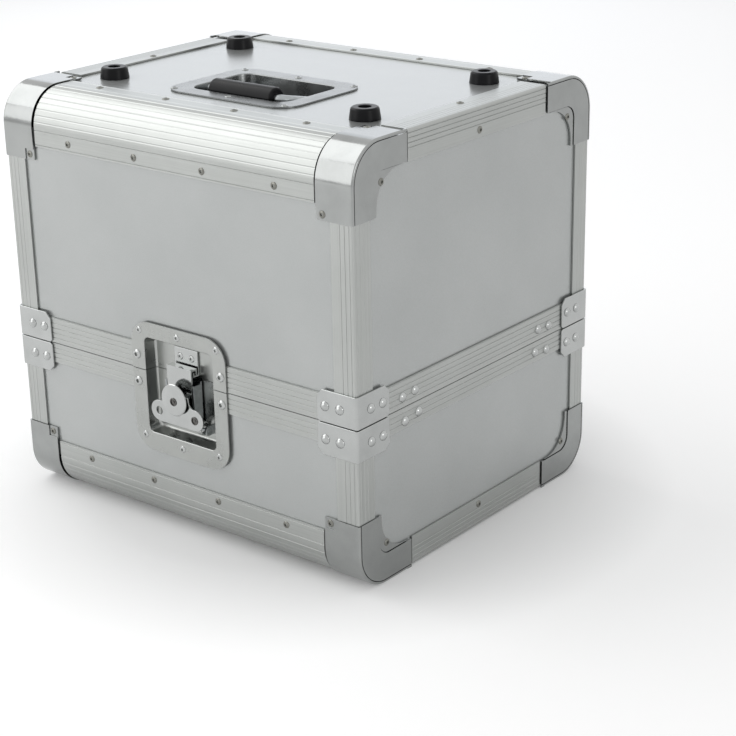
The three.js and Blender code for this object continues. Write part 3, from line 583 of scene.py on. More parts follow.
def pressed_corner():
    """The sheet of a pressed corner: band, plate with its rim and web, and pads for rivets."""
    shape = bmesh.new()
    x = case_width / 2 + corner_proud
    edge_y = -case_depth / 2
    front = edge_y - corner_proud
    top = case_height + corner_proud
    low = case_height - corner_reach
    band_y = edge_y + corner_reach
    plate_y = edge_y + plate_reach
    radius = rounding + corner_proud
    outer, band_end = path_with_round(shape, (x, front, low), (x, front, top),
                                      (x, band_y, top), radius)
    sweep(shape, outer, (-band_width - corner_proud, 0, 0))
    outer = outer + [shape.edges.new((band_end, shape.verts.new((x, plate_y, top))))]
    rim_y = edge_y + rim_width
    rim_z = case_height - rim_width
    inner, rim_end = path_with_round(shape, (x, rim_y, low), (x, rim_y, rim_z),
                                     (x, band_y, rim_z), rim_radius)
    inner.append(shape.edges.new((rim_end, shape.verts.new((x, plate_y, rim_z)))))
    rings = [outer]
    for inset in seam:
        ring = path_with_round(shape, (x, front + inset, low), (x, front + inset, top - inset),
                               (x, plate_y, top - inset), radius - inset)[0]
        rings.append(ring)
    bmesh.ops.bridge_loops(shape, edges=rings[0] + rings[1])
    bmesh.ops.bridge_loops(shape, edges=rings[2] + inner)
    sunk = x - rim_rise
    web_y = rim_y + web_gap
    web_z = rim_z - web_gap
    web_start = path_with_round(shape, (sunk, web_y, low), (sunk, web_y, web_z),
                                (sunk, band_y, web_z), rim_radius)[0]
    web_y = edge_y + web_leg
    web_z = rim_z - web_inset
    web = path_with_round(shape, (sunk, web_y, low), (sunk, web_y, web_z),
                          (sunk, band_y + web_overlap, web_z), web_radius)[0]
    bmesh.ops.bridge_loops(shape, edges=web_start + web)
    pad_x = case_width / 2 - corner_rivet_inset
    pad_low = case_height - corner_rivet_reach
    pad_far = edge_y + corner_rivet_reach
    for normal, place, chosen in (
            ((1, 0, 0), pad_x + rivet_pad, lambda middle: middle.x < x - plate_margin),
            ((0, 0, 1), pad_low + rivet_pad, lambda middle: middle.y < front + leg_margin),
            ((0, 1, 0), pad_far - rivet_pad, lambda middle: middle.z > top - leg_margin
             and middle.x < x - plate_margin)):
        cut(shape, Vector(normal) * place, normal, chosen)
    shape.normal_update()
    centre = Vector((0, 0, case_height / 2))
    turned_in = [face for face in shape.faces
                 if (face.calc_center_median() - centre).dot(face.normal) < 0]
    bmesh.ops.reverse_faces(shape, faces=turned_in)
    for place, inwards in ((Vector((pad_x, front, pad_low)), Vector((0, 1, 0))),
                           (Vector((pad_x, pad_far, top)), Vector((0, 0, -1)))):
        pad = min(shape.faces, key=lambda face: (face.calc_center_median() - place).length)
        corners = pick(BMVert, bmesh.ops.split(shape, geom=[pad])["geom"])
        bmesh.ops.translate(shape, verts=corners, vec=inwards * rivet_pad_depth)
    fold = []
    for edge in shape.edges:
        on_plate = all(abs(vert.co.x - x) < near for vert in edge.verts)
        insets = [x - face.calc_center_median().x for face in edge.link_faces]
        if on_plate and len(insets) == 2 and min(insets) < near and max(insets) > plate_margin:
            fold.append(edge)
    bevel(shape, fold, fold_radius)
    return shape


chrome = make_plating("chromed_steel", "8f9190", "a6a8a7", 0.09, 0.2)
for half, face, end in product(halves, faces, ends):
    shape = pressed_corner()
    mirror_shape(shape, half, face, end)
    make_piece(f"{half}_{face}_{end}_pressed_corner", shape, half, chrome,
               wall=corner_wall, softening=press_softening,
               replaced=[f"{half}_{face}_{end}_corner"])

# Bent braces
# Polished plated steel, bent round the corner over the ends of the rails, one above the split
# and one below. Each leg has its outer end clipped and two domed rivets.
brace_gap = 0.2
brace_wall = 1.5
brace_reach = 38
brace_height = 26.4
brace_from_split = 0.5
brace_clip = 7
brace_taper_share = 0.75
brace_bend = 2.5
brace_bend_steps = 5
brace_rivet_places = (15.5, 30)
dome_outline = ((4.1, -0.3), (4.1, 0.2), (3.8, 0.85), (3.0, 1.6), (1.8, 2.2), (0, 2.45))
rivet_sides = 18
seam_distance = 0.001


def add_turned(shape, place, outwards, outline, sides=rivet_sides, filled=False):
    """Adds a body, turned from pairs of radius and height, that stands on a place and looks
    outwards. A filled one is closed underneath."""
    body = bmesh.new()
    chain(body, [(radius, 0, height) for radius, height in outline])
    bmesh.ops.spin(body, geom=body.verts[:] + body.edges[:], cent=(0, 0, 0), axis=(0, 0, 1),
                   angle=2 * math.pi, steps=sides, use_merge=True)
    bmesh.ops.remove_doubles(body, verts=body.verts, dist=seam_distance)
    if filled:
        bmesh.ops.holes_fill(body, edges=[edge for edge in body.edges if edge.is_boundary])
    turn = Vector(outwards).to_track_quat("Z", "Y").to_matrix().to_4x4()
    bmesh.ops.transform(body, matrix=Matrix.Translation(place) @ turn, verts=body.verts)
    carried = as_mesh("turned", body)
    shape.from_mesh(carried)
    bpy.data.meshes.remove(carried)


def brace_leg(shape, low, high, near_clip, far_clip, at):
    """Adds a clipped leg, drawn from the corner outwards by a function of distance and height."""
    corners = [(0, low), (brace_reach - near_clip, low), (brace_reach, low + near_clip),
               (brace_reach, high - far_clip), (brace_reach - far_clip, high), (0, high)]
    shape.faces.new([shape.verts.new(at(*corner)) for corner in corners])


def bent_brace():
    """The sheet of a brace: two clipped legs that meet in a fold."""
    shape = bmesh.new()
    outer = brace_gap + brace_wall
    x = case_width / 2 + outer
    y = -case_depth / 2 - outer
    low = split_height + brace_from_split
    clips = (brace_clip * (1 - brace_taper_share), brace_clip * brace_taper_share)
    brace_leg(shape, low, low + brace_height, *clips, lambda far, z: (
        x if far == 0 else x - outer - far, y, z))
    brace_leg(shape, low, low + brace_height, *clips, lambda far, z: (
        x, y if far == 0 else y + outer + far, z))
    bmesh.ops.remove_doubles(shape, verts=shape.verts, dist=near)
    bmesh.ops.recalc_face_normals(shape, faces=shape.faces)
    fold = [edge for edge in shape.edges if len(edge.link_faces) == 2]
    bevel(shape, fold, brace_bend, brace_bend_steps)
    return shape


def brace_rivets():
    """The four domed heads of a brace."""
    shape = bmesh.new()
    x = case_width / 2
    y = -case_depth / 2
    out = brace_gap + brace_wall
    middle = split_height + brace_from_split + brace_height / 2
    for place in brace_rivet_places:
        add_turned(shape, (x - place, y - out, middle), (0, -1, 0), dome_outline)
        add_turned(shape, (x + out, y + place, middle), (1, 0, 0), dome_outline)
    return shape


polished = make_plating("polished_nickel", "a6a8a7", "bdbfbe", 0.09, 0.22)
tray_shift = case_height - 2 * split_height
for half, face, end in product(halves, faces, ends):
    shape = bent_brace()
    heads = brace_rivets()
    for made in (shape, heads):
        if half == "tray":
            bmesh.ops.translate(made, verts=made.verts, vec=(0, 0, tray_shift))
        mirror_shape(made, half, face, end)
    make_piece(f"{half}_{face}_{end}_bent_brace", shape, half, polished,
               wall=brace_wall, softening=press_softening,
               replaced=[f"{half}_{face}_{end}_brace"])
    make_piece(f"{half}_{face}_{end}_brace_rivets", heads, half, polished)

# Hinge
# Two leaves of zinc-plated steel along the back, held by countersunk screws, with knuckles
# that close in turn round one pin.
zinc_crystal = 3.5
hinge_screw_places = (-120, -60, 0, 60, 120)
hinge_screw_rise = 14.5
hinge_face = 161.7
screw_outline = ((3.3, -0.2), (3.3, 0.15), (2.9, 0.5), (1.2, 0.62), (0.9, 0.1), (0, 0.05))
bevel_of_solid = 0.25
flat_angle = math.radians(1)


def make_zinc_material():
    """Zinc-plated sheet steel: a grey, slightly crystalline plating, duller than chrome."""
    material, add, place = start_material("zinc_plated_steel")
    crystals = add("TexVoronoi", {
        "Vector": place, "Scale": 1 / (zinc_crystal * metre)}, feature="F1")
    grain = add("TexNoise", {
        "Vector": place, "Scale": 1 / (drawing_pitch * metre), "Detail": 3.0, "Roughness": 0.6})
    flakes = add("Mix", {
        0: crystals.outputs["Color"], 6: linear("9a9e9f"), 7: linear("acb0b1")}, data_type="RGBA")
    rough = add("MapRange", {"Value": grain, "To Min": 0.22, "To Max": 0.42})
    bump = add("Bump", {"Height": grain, "Strength": 0.1, "Distance": 0.05 * metre})
    metal = add("BsdfPrincipled", {
        "Base Color": flakes.outputs[2], "Metallic": 1.0, "Roughness": rough, "Normal": bump})
    add("OutputMaterial", {"Surface": metal})
    return material


def soften_solid(node):
    """Rounds the sharp edges of a solid of the frame a little, as pressed sheet metal has them."""
    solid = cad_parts[node]
    weld = solid.modifiers.new("weld", "WELD")
    weld.merge_threshold = near * metre
    flatten = solid.modifiers.new("flat_faces", "DECIMATE")
    flatten.decimate_type = "DISSOLVE"
    flatten.angle_limit = flat_angle
    soften = solid.modifiers.new("edges", "BEVEL")
    soften.width = bevel_of_solid * metre
    soften.segments = 2
    soften.limit_method = "ANGLE"
    soften.angle_limit = soft_angle


zinc = make_zinc_material()
for half, side in (("tray", -1), ("lid", 1)):
    refinish(f"{half}_hinge_leaf", zinc)
    soften_solid(f"{half}_hinge_leaf")
    shape = bmesh.new()
    for place in hinge_screw_places:
        add_turned(shape, (place, hinge_face, split_height + side * hinge_screw_rise), (0, 1, 0),
                   screw_outline)
    make_piece(f"{half}_hinge_screws", shape, half, zinc)

# Latch dish
# Nickel-plated steel, pressed in two halves that part at the split: a flat flange with round
# outer corners, and a sunk pan. Pop rivets hold the flange, with larger eyelets at its sides.
latch_flange = (-50.5, 54.5, 69.2, 182.8)
latch_recess = (-36, 40, 85.7, 169.3)
latch_flange_radius = 20
latch_recess_radius = 5
latch_face = -161.4
latch_depth = 11.4
dish_wall = 1.2
dish_fold = 0.9
dish_fold_steps = 3
loop_round_steps = 8
dish_draft_share = 0.95
dish_floor_fold = 2.2
pop_outline = ((3.1, -0.25), (3.1, 0.15), (2.7, 0.55), (1.8, 0.85), (1.2, 0.88),
               (1.05, -0.1), (0, -0.2))
eyelet_outline = ((4.1, -0.2), (4.1, 0.35), (3.6, 1.05), (2.6, 1.5), (1.6, 1.55),
                  (1.3, -0.1), (0, -0.15))
latch_pops = ((-42.5, 81.5), (0, 78), (41.5, 81.5), (-43, 174.5), (0, 176), (43, 174.5))
latch_eyelets = ((-46.8, 152.5), (46.8, 152.5), (-46.8, 128.8), (46.8, 128.8))


def round_loop(shape, corners, radius):
    """A closed loop of edges through four corners, each rounded."""
    known = set(shape.edges)
    points = [shape.verts.new(corner) for corner in corners]
    shape.faces.new(points)
    bevel(shape, points, radius, loop_round_steps, affect="VERTICES")
    edges = [edge for edge in shape.edges if edge not in known]
    bmesh.ops.delete(shape, geom=edges[0].link_faces[:], context="FACES_ONLY")
    return edges


def pressed_dish(outer, inner, outer_radius, inner_radius, at, depth):
    """A flange with a sunk pan, drawn by a function that sets two coordinates and a depth."""
    shape = bmesh.new()
    rims = []
    for (left, right, low, high), radius in ((outer, outer_radius), (inner, inner_radius)):
        corners = [at(left, low, 0), at(right, low, 0), at(right, high, 0), at(left, high, 0)]
        rims.append(round_loop(shape, corners, radius))
    bmesh.ops.bridge_loops(shape, edges=rims[0] + rims[1])
    bottom = sweep(shape, rims[1], Vector(at(0, 0, depth)) - Vector(at(0, 0, 0)))
    middle = Vector(at((inner[0] + inner[1]) / 2, (inner[2] + inner[3]) / 2, depth))
    low_corners = list({vert for edge in bottom for vert in edge.verts})
    bmesh.ops.scale(shape, verts=low_corners, vec=[dish_draft_share] * 3,
                    space=Matrix.Translation(-middle))
    bmesh.ops.edgeloop_fill(shape, edges=bottom)
    bevel(shape, bottom, dish_floor_fold)
    bevel(shape, [edge for edge in rims[1] if edge.is_valid], dish_fold, dish_fold_steps)
    return shape


nickel = make_plating("nickelled_steel", "9c9e9c", "b0b2af", 0.24, 0.4)
for half, split, side in (("tray", split_height - split_gap, 1),
                          ("lid", split_height + split_gap, -1)):
    shape = pressed_dish(latch_flange, latch_recess, latch_flange_radius, latch_recess_radius,
                         lambda across, height, deep: (across, latch_face + deep, height),
                         latch_depth)
    cut(shape, (0, 0, split), (0, 0, side), clear_outer=True)
    make_piece(f"{half}_latch_pan", shape, half, nickel, wall=dish_wall,
               softening=press_softening, replaced=[f"{half}_latch_dish"])
    heads = bmesh.new()
    for places, outline in ((latch_pops, pop_outline), (latch_eyelets, eyelet_outline)):
        for across, height in places:
            if (height > split_height) == (half == "lid"):
                add_turned(heads, (latch_x + across, latch_face, height), (0, -1, 0), outline)
    make_piece(f"{half}_latch_rivets", heads, half, polished)

# Latch ears and pin
# The tray's dish carries two ears of zinc-plated steel with the pin that the whole latch swings
# out on. A torsion spring, wound from round plated wire, pushes it out.
ear_inner = 22
ear_size = (2.5, 7.5, 8)
ear_set_back = 0.6
ear_rounding = 2.6
ear_rounding_steps = 5
swing_y = -154
swing_z = 98
swing_pin_radius = 1.5
swing_pin_end = 0.6
swing_pin_sides = 20
spring_radius = 5.2
spring_wire = 0.75
spring_wire_sides = 10
spring_pitch = 1.75
spring_turns = 3
spring_start = 17.2
spring_steps = 28
spring_y = swing_y - 2.1
spring_z = swing_z + 2.5


def add_ears(shape, inner, size, middle, outwards, rounding_radius, steps):
    """Adds two plates on both sides of a middle, each rounded where it looks outwards."""
    middle = Vector(middle)
    for side in (-1, 1):
        made = bmesh.ops.create_cube(shape, size=1)["verts"]
        bmesh.ops.scale(shape, verts=made, vec=size)
        bmesh.ops.translate(shape, verts=made,
                            vec=middle + Vector((side * (inner + size[0] / 2), 0, 0)))
        outer = [vert for vert in made if (vert.co - middle).dot(outwards) > 0]
        rounded = [edge for edge in shape.edges if all(vert in outer for vert in edge.verts)
                   and abs(edge.verts[0].co.x - edge.verts[1].co.x) > size[0] / 2]
        bevel(shape, rounded, rounding_radius, steps)


def laid(place, axis):
    """The turn and shift that lay an upright round across an axis, at a place."""
    return Matrix.Translation(place) @ Matrix.Rotation(math.pi / 2, 4, axis)


def add_rod(shape, radius, length, place, axis, sides):
    """Adds a round rod, laid across an axis, with its middle at a place."""
    bmesh.ops.create_cone(shape, cap_ends=True, segments=sides, radius1=radius, radius2=radius,
                          depth=length, matrix=laid(place, axis))


shape = bmesh.new()
add_ears(shape, ear_inner, ear_size, (latch_x, swing_y + ear_set_back, swing_z), (0, -1, 0),
         ear_rounding, ear_rounding_steps)
add_rod(shape, swing_pin_radius, 2 * (ear_inner + ear_size[0] + swing_pin_end),
        (latch_x, swing_y, swing_z), "Y", swing_pin_sides)
make_piece("latch_ears_and_pin", shape, "tray", zinc, softening=press_softening)

shape = bmesh.new()
ring = bmesh.ops.create_circle(shape, segments=spring_wire_sides, radius=spring_wire,
                               cap_ends=False)["verts"]
bmesh.ops.translate(shape, verts=ring,
                    vec=(latch_x + spring_start, spring_y + spring_radius, spring_z))
steps = spring_turns * spring_steps
bmesh.ops.spin(shape, geom=shape.verts[:] + shape.edges[:], cent=(0, spring_y, spring_z),
               axis=(1, 0, 0), angle=spring_turns * 2 * math.pi, steps=steps,
               dvec=(spring_turns * spring_pitch / steps, 0, 0))
bmesh.ops.holes_fill(shape, edges=[edge for edge in shape.edges if edge.is_boundary])
make_piece("torsion_spring", shape, "tray", polished, replaced=["latch_spring"])

# Keeper, carrier and drawbolt
# Folded from steel plate: the keeper is riveted in the lid's dish, the carrier swings on the
# pin, and the drawbolt slides in it and hooks behind the keeper's lip.
keeper_rivets = ((-6.3, 156.5), (6.3, 156.5))
keeper_face = -151.8
for node, material in (("latch_keeper", polished), ("latch_carrier", zinc),
                       ("latch_drawbolt", polished)):
    refinish(node, material)
    soften_solid(node)
shape = bmesh.new()
for across, height in keeper_rivets:
    add_turned(shape, (latch_x + across, keeper_face, height), (0, -1, 0), pop_outline)
make_piece("keeper_rivets", shape, "lid", polished)

# Butterfly wing
# A stamped, nickel-plated plate with two lobes, one with a hole and one with a rivet, under a
# round cap on a neck, riveted to the spindle. Half a turn of it draws the bolt. The rivets of
# the lobe and the cap are coloured dark, as painted shade in their rings.
wing_z = 122.8
wing_back = -164.5
wing_thickness = 1.5
wing_front = wing_back - wing_thickness
wing_fillet = 5
wing_softening = 0.35
wing_lobe_x = 20
wing_lobe_drop = 13
wing_lobe_z = wing_z - wing_lobe_drop
wing_lobe_radius = 9.2
wing_hub_radius = 14
wing_hub_rise = 5
wing_hole_radius = 3.6
wing_hole_sides = 24
wing_arc_steps = 16
neck_radius = 10
neck_rise = 1.8
cap_radius = 13.8
cap_thickness = 1.3
cap_top = neck_rise + cap_thickness
cap_raise = 1.5
cap_under_edge = 0.4
cap_upper_edge = 0.6
cap_outline = ((neck_radius, -0.2), (neck_radius, neck_rise),
               (cap_radius - cap_under_edge, neck_rise),
               (cap_radius, neck_rise + cap_under_edge), (cap_radius, cap_top - cap_upper_edge),
               (cap_radius - cap_upper_edge, cap_top), (0, cap_top))
cap_sides = 48
spindle_radius = 3
spindle_length = 12.5
spindle_sides = 32
boss_radius = 6.5
boss_length = 3.2
eye_outline = ((3.6, -0.1), (3.6, 0.45), (3.2, 0.8), (2.7, 0.8), (2.6, 0.05), (1.4, 0.05),
               (1.3, 0.5), (0, 0.55))


def butterfly_plate():
    """The plate: rounds of two lobes and a hub, joined by fillets, with its hub cut flat."""
    shape = bmesh.new()
    to_lobe = math.hypot(wing_lobe_x, wing_lobe_drop)
    hub_reach = wing_hub_radius + wing_fillet
    lobe_reach = wing_lobe_radius + wing_fillet
    share = (to_lobe ** 2 + hub_reach ** 2 - lobe_reach ** 2) / (2 * to_lobe * hub_reach)
    hub_angle = math.acos(share) - math.atan2(wing_lobe_drop, wing_lobe_x)
    fillet_x = hub_reach * math.cos(hub_angle)
    fillet_z = hub_reach * math.sin(hub_angle)
    lobe_angle = math.atan2(fillet_z + wing_lobe_drop, fillet_x - wing_lobe_x)
    lobe_turn = lobe_angle + math.pi / 2
    fillet_turn = -(math.pi - (lobe_angle - hub_angle))
    start = shape.verts.new((latch_x + wing_lobe_x, wing_front, wing_lobe_z - wing_lobe_radius))
    last = start
    for across, height, turn in (
            (wing_lobe_x, wing_lobe_z, lobe_turn), (fillet_x, wing_z + fillet_z, fillet_turn),
            (0, wing_z, math.pi - 2 * hub_angle), (-fillet_x, wing_z + fillet_z, fillet_turn),
            (-wing_lobe_x, wing_lobe_z, lobe_turn)):
        centre = (latch_x + across, wing_front, height)
        last = turn_corner(shape, last, centre, (0, -1, 0), turn, wing_arc_steps)
    shape.edges.new((last, start))
    bmesh.ops.create_circle(shape, segments=wing_hole_sides, radius=wing_hole_radius,
                            cap_ends=False,
                            matrix=laid((latch_x - wing_lobe_x, wing_front, wing_lobe_z), "X"))
    bmesh.ops.triangle_fill(shape, edges=shape.edges[:], use_beauty=True, use_dissolve=False)
    cut(shape, (0, 0, wing_z + wing_hub_rise), (0, 0, 1), clear_outer=True)
    thick = bmesh.ops.extrude_face_region(shape, geom=shape.faces[:])["geom"]
    bmesh.ops.translate(shape, verts=pick(BMVert, thick), vec=(0, wing_thickness, 0))
    bmesh.ops.dissolve_limit(shape, angle_limit=flat_angle, verts=shape.verts,
                             edges=shape.edges, use_dissolve_boundaries=False)
    return shape


make_piece("butterfly_wing", butterfly_plate(), "wing", polished,
           softening=wing_softening, replaced=["latch_wing"])
shape = bmesh.new()
add_turned(shape, (latch_x, wing_front, wing_z + cap_raise), (0, -1, 0), cap_outline,
           sides=cap_sides)
for radius, length in ((spindle_radius, spindle_length), (boss_radius, boss_length)):
    add_rod(shape, radius, length, (latch_x, wing_back + length / 2, wing_z), "X", spindle_sides)
make_piece("wing_cap_and_spindle", shape, "wing", polished)
shape = bmesh.new()
for place in ((latch_x, wing_front - cap_top, wing_z),
              (latch_x + wing_lobe_x, wing_front, wing_lobe_z)):
    add_turned(shape, place, (0, -1, 0), eye_outline)
# Painted shade: these rivets get a dark steel colour that stands in for the shade in their rings.
shade_darkened_plating = make_plating("steel_darkened_as_painted_shade", "4e4d4a", "737270", 0.2, 0.36)
make_piece("wing_rivets", shape, "wing", shade_darkened_plating)

# Handle
# A chromed steel dish let into the top board, with a round steel bow that pivots in two ears
# and lies across it, and a moulded rubber grip over the bow's middle.
handle_y = -41.5
handle_recess = (-52, 52, handle_y - 35.5, handle_y + 35.5)
handle_flange = (-68, 68, handle_y - 51.5, handle_y + 51.5)
handle_flange_radius = 20
handle_recess_radius = 12
handle_face = 359.8
handle_depth = 21.8
handle_rivets = [(x, handle_y + y, handle_face) for x, y in (
    (-60, -43.5), (60, -43.5), (-60, 43.5), (60, 43.5), (0, -43.5), (0, 43.5))]
bow_radius = 4
bow_half_width = 41
bow_pivot = (-22.5, 349)
bow_grip = (-64, 358.2)
bow_end = 50.2
bow_bend = 7
bow_bend_steps = 8
bow_sides = 20
handle_ear_inner = 47.5
handle_ear_size = (3, 14, 18.4)
handle_ear_drop = 2.4
handle_ear_rounding = 5
handle_ear_steps = 6
grip_radius = 9.5
grip_half_length = 33.5
grip_bore_gap = 0.3
grip_end_outline = ((1.6, 0), (0.5, 0.5), (0, 1.8))
grip_sides = 40
rubber_grit = 0.6
dust_size = 12


def make_rubber_material():
    """Moulded black rubber: polished by the mould and finely gritted, greyed by a little dust."""
    material, add, place = start_material("moulded_rubber")
    grit = add("TexNoise", {
        "Vector": place, "Scale": 1 / (rubber_grit * metre), "Detail": 3.0, "Roughness": 0.6})
    dust = add("TexNoise", {
        "Vector": place, "Scale": 1 / (dust_size * metre), "Detail": 5.0, "Roughness": 0.65})
    colour = add("Mix", {0: dust, 6: linear("040405"), 7: linear("0f1013")}, data_type="RGBA")
    rough = add("MapRange", {"Value": dust, "To Min": 0.2, "To Max": 0.42})
    bump = add("Bump", {"Height": grit, "Strength": 0.12, "Distance": 0.1 * metre})
    surface = add("BsdfPrincipled", {
        "Base Color": colour.outputs[2], "Roughness": rough, "IOR": 1.52,
        "Specular IOR Level": 0.15, "Normal": bump})
    add("OutputMaterial", {"Surface": surface})
    return material


def half_bow():
    """The bow from its pivot to its middle, drawn as a ring along a bent path."""
    shape = bmesh.new()
    pivot = Vector((bow_half_width, *bow_pivot))
    corner = Vector((bow_half_width, *bow_grip))
    leg = (corner - pivot).normalized()
    inwards = Vector((-1, 0, 0))
    bmesh.ops.create_circle(shape, segments=bow_sides, radius=bow_radius, cap_ends=True,
                            matrix=laid((bow_end, *bow_pivot), "Y"))
    ring = shape.edges[:]
    for straight, centre, axis in (
            (inwards * (bow_end - bow_half_width - bow_bend),
             pivot - inwards * bow_bend + leg * bow_bend, inwards.cross(leg)),
            (leg * ((corner - pivot).length - 2 * bow_bend),
             corner - leg * bow_bend + inwards * bow_bend, leg.cross(inwards))):
        ring = sweep(shape, ring, straight)
        corners = list({vert for edge in ring for vert in edge.verts})
        made = bmesh.ops.spin(shape, geom=corners + ring, cent=centre, axis=axis,
                              angle=math.pi / 2, steps=bow_bend_steps)["geom_last"]
        ring = pick(BMEdge, made)
    sweep(shape, ring, inwards * (bow_half_width - bow_bend))
    return shape


shape = pressed_dish(handle_flange, handle_recess, handle_flange_radius, handle_recess_radius,
                     lambda across, along, deep: (across, along, handle_face - deep),
                     handle_depth)
dull_chrome = make_plating("dull_chromed_steel", "7a7c7c", "909292", 0.2, 0.36)
make_piece("handle_pan", shape, "lid", dull_chrome, wall=dish_wall,
           softening=press_softening, replaced=["handle_dish"])
shape = bmesh.new()
add_ears(shape, handle_ear_inner, handle_ear_size,
         (0, bow_pivot[0], bow_pivot[1] - handle_ear_drop), (0, 0, 1), handle_ear_rounding,
         handle_ear_steps)
make_piece("handle_ears", shape, "lid", chrome, softening=press_softening)
shape = bmesh.new()
for place in handle_rivets:
    add_turned(shape, place, (0, 0, 1), pop_outline)
make_piece("handle_rivets", shape, "lid", chrome)

shape = half_bow()
bmesh.ops.mirror(shape, geom=shape.verts[:] + shape.edges[:] + shape.faces[:], axis="X",
                 merge_dist=near)
make_piece("handle_bow", shape, "handle", zinc, replaced=["handle_bail"])

rubber = make_rubber_material()
half_outline = [(bow_radius + grip_bore_gap, -grip_half_length)]
for less, along in grip_end_outline:
    half_outline.append((grip_radius - less, along - grip_half_length))
outline = half_outline + [(radius, -along) for radius, along in reversed(half_outline)]
shape = bmesh.new()
add_turned(shape, (0, *bow_grip), (1, 0, 0), outline + outline[:1], grip_sides)
make_piece("rubber_grip", shape, "handle", rubber, replaced=["handle_grip"])

# Feet
# Four tapered rubber feet on the top board, each moulded with a round top edge and a sunk
# hole, and held by a pan-head screw on a washer in the hole.
foot_places = (("front", "left", -136, -79), ("front", "right", 136, -79),
               ("back", "left", -136, 79), ("back", "right", 136, 79))
foot_base = 358.6
foot_outline = ((12.5, 0), (12.4, 0.9), (11.4, 7.4), (11.1, 8.4), (10.5, 9.1), (9.7, 9.5),
                (5.8, 9.5), (5.2, 9.2), (5, 8.6), (4.9, 4), (0, 4))
foot_sides = 36
washer_outline = ((4.7, 4.05), (4.7, 4.6), (3.2, 4.7), (3.2, 5.5), (2.8, 6.3), (1.7, 6.7),
                  (0, 6.8))
washer_sides = 20

for face, end, x, y in foot_places:
    shape = bmesh.new()
    add_turned(shape, (x, y, foot_base), (0, 0, 1), foot_outline, foot_sides, filled=True)
    make_piece(f"rubber_foot_{face}_{end}", shape, "lid", rubber,
               replaced=[f"foot_{face}_{end}"])
    shape = bmesh.new()
    add_turned(shape, (x, y, foot_base), (0, 0, 1), washer_outline, washer_sides, filled=True)
    make_piece(f"foot_screw_{face}_{end}", shape, "lid", zinc)

# Rivets of the case
# Aluminium pop rivets through the flanges of the profiles and the legs and webs of the pressed
# corners, with the holes that their mandrels leave, and plated domed ones through the rails.
flange_rivet_places = (-111.5, -35.8, 38.2, 112.3)
flange_rivet_drop = 40
end_rivet_drop = 19
web_rivet_inset = 34
web_rivet_drop = 33
rail_rivets = ((57, 9), (73, 10), (60, -12), (77.5, -9.5))


def pop_rivets():
    """Every pop rivet of the lid. The tray has the same ones, turned over."""
    shape = bmesh.new()
    x, y, z = case_width / 2, case_depth / 2, case_height
    sunk = corner_proud - rivet_pad_depth
    web_x = x + corner_proud - rim_rise
    places = []
    for face in (-1, 1):
        for along in flange_rivet_places:
            places.append(((along, face * y, z - flange_rivet_drop), (0, face, 0)))
            places.append(((along, face * (y - flange_rivet_drop), z), (0, 0, 1)))
        for end in (-1, 1):
            across = end * (x - corner_rivet_inset)
            places.append(((across, face * (y + sunk), z - corner_rivet_reach), (0, face, 0)))
            places.append(((across, face * (y - corner_rivet_reach), z + sunk), (0, 0, 1)))
            places.append(((end * web_x, face * (y - web_rivet_inset), z - web_rivet_drop),
                           (end, 0, 0)))
    for end in (-1, 1):
        places.append(((end * x, 0, z - end_rivet_drop), (end, 0, 0)))
        places.append(((end * (x - end_rivet_drop), 0, z), (0, 0, 1)))
    for place, outwards in places:
        add_turned(shape, place, outwards, pop_outline)
    return shape


def rail_heads(half):
    """The domed rivets through the end faces' rails, beside the braces."""
    shape = bmesh.new()
    for end, face, (along, rise) in product((-1, 1), (-1, 1), rail_rivets):
        if (rise > 0) == (half == "lid"):
            add_turned(shape, (end * case_width / 2, face * (case_depth / 2 - along),
                               split_height + rise), (end, 0, 0), dome_outline)
    return shape


rivet_metal = make_plating("tumbled_aluminium", "6f6f6a", "8e8e88", 0.22, 0.4)
for half in halves:
    shape = pop_rivets()
    mirror_shape(shape, half, "front", "right")
    make_piece(f"{half}_pop_rivets", shape, half, rivet_metal)
    make_piece(f"{half}_rail_rivets", rail_heads(half), half, polished)

# Studio
# A plain pale floor and soft lamps, with the camera where the photograph was taken from. The
# floor's glow is dimmed near the case, which paints a darker shadow round the case's base.
camera_place = (1.0063, -1.1613, 0.6837)
camera_turn = 0.6783
camera_dip = 0.3634
camera_roll = -0.0195
sensor_width = 36
lens_length = 90.46
lamp_aim = (0, 0, 0.18)
floor_size = 14

turn, dip, roll = camera_turn, camera_dip, camera_roll
forward = Vector((-math.sin(turn) * math.cos(dip), math.cos(turn) * math.cos(dip),
                  -math.sin(dip)))
level = Vector((math.cos(turn), math.sin(turn), 0))
upwards = level.cross(forward)
across = math.cos(roll) * level + math.sin(roll) * upwards
upwards = -math.sin(roll) * level + math.cos(roll) * upwards
camera_data = bpy.data.cameras.new("camera")
camera_data.sensor_width = sensor_width
camera_data.lens = lens_length
camera = add_object("camera", camera_data)
axes = Matrix((across, upwards, -forward)).transposed()
camera.matrix_world = Matrix.Translation(camera_place) @ axes.to_4x4()
bpy.context.scene.camera = camera

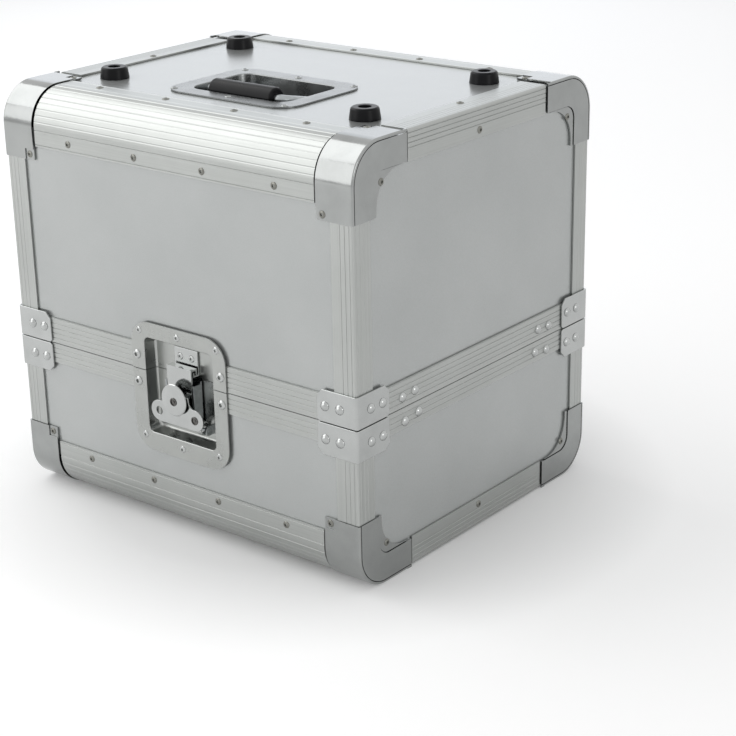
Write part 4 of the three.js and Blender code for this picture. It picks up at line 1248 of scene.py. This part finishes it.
floor_shape = bmesh.new()
bmesh.ops.create_grid(floor_shape, x_segments=1, y_segments=1, size=floor_size / 2)
floor = add_object("floor", as_mesh("floor", floor_shape))


def seen_itself(add):
    """One for what is looked at, mirrored or seen through glass, and zero for what only
    lights the case."""
    rays = add("LightPath", {})
    seen = rays.outputs["Is Camera Ray"]
    for kind in ("Is Glossy Ray", "Is Transmission Ray"):
        seen = add("Math", {0: seen, 1: rays.outputs[kind]}, operation="MAXIMUM")
    return seen


material, add, place = start_material("floor_paper")
# Painted shadow: the floor glows less towards the case, so the floor round its base is darker.
away = add("VectorMath", {0: place}, operation="LENGTH")
glow_with_painted_shadow = add("MapRange", {
    "Value": away.outputs["Value"], "From Min": 0.19, "From Max": 0.33, "To Min": 0.07,
    "To Max": 0.33})
glow = add("Math", {0: seen_itself(add), 1: glow_with_painted_shadow}, operation="MULTIPLY")
paper = add("BsdfPrincipled", {
    "Base Color": linear("f2f2f2"), "Roughness": 0.9, "Emission Color": linear("ffffff"),
    "Emission Strength": glow})
add("OutputMaterial", {"Surface": paper})
floor.data.materials.append(material)

world = bpy.data.worlds.new("studio")
bpy.context.scene.world = world
add = start_nodes(world)
soft_light = add("Background", {"Color": linear("ffffff"), "Strength": 0.5})
backdrop = add("Background", {"Color": linear("ffffff"), "Strength": 1.0})
mixed = add("MixShader", {0: seen_itself(add), 1: soft_light, 2: backdrop})
add("OutputWorld", {"Surface": mixed})

lamps = (("overhead_lamp", (-1.6, -0.4, 1.9), 2.2, 19.5, "ffffff"),
         ("back_lamp", (-1.6, 2.0, 1.0), 1.8, 3.4, "e4efff"),
         ("front_lamp", (-1.3, -1.9, 1.0), 1.8, 10, "ffffff"),
         ("side_lamp", (2.3, -0.5, 0.9), 1.0, 5, "ffffff"))
for name, place, size, power, tint in lamps:
    lamp_data = bpy.data.lights.new(name, "AREA")
    lamp_data.shape = "DISK"
    lamp_data.size = size
    lamp_data.energy = power
    lamp_data.color = linear(tint)[:3]
    lamp = add_object(name, lamp_data)
    lamp.location = place
    lamp.rotation_mode = "QUATERNION"
    lamp.rotation_quaternion = (Vector(lamp_aim) - Vector(place)).to_track_quat("-Z", "Y")

bpy.context.scene.view_settings.view_transform = "Standard"
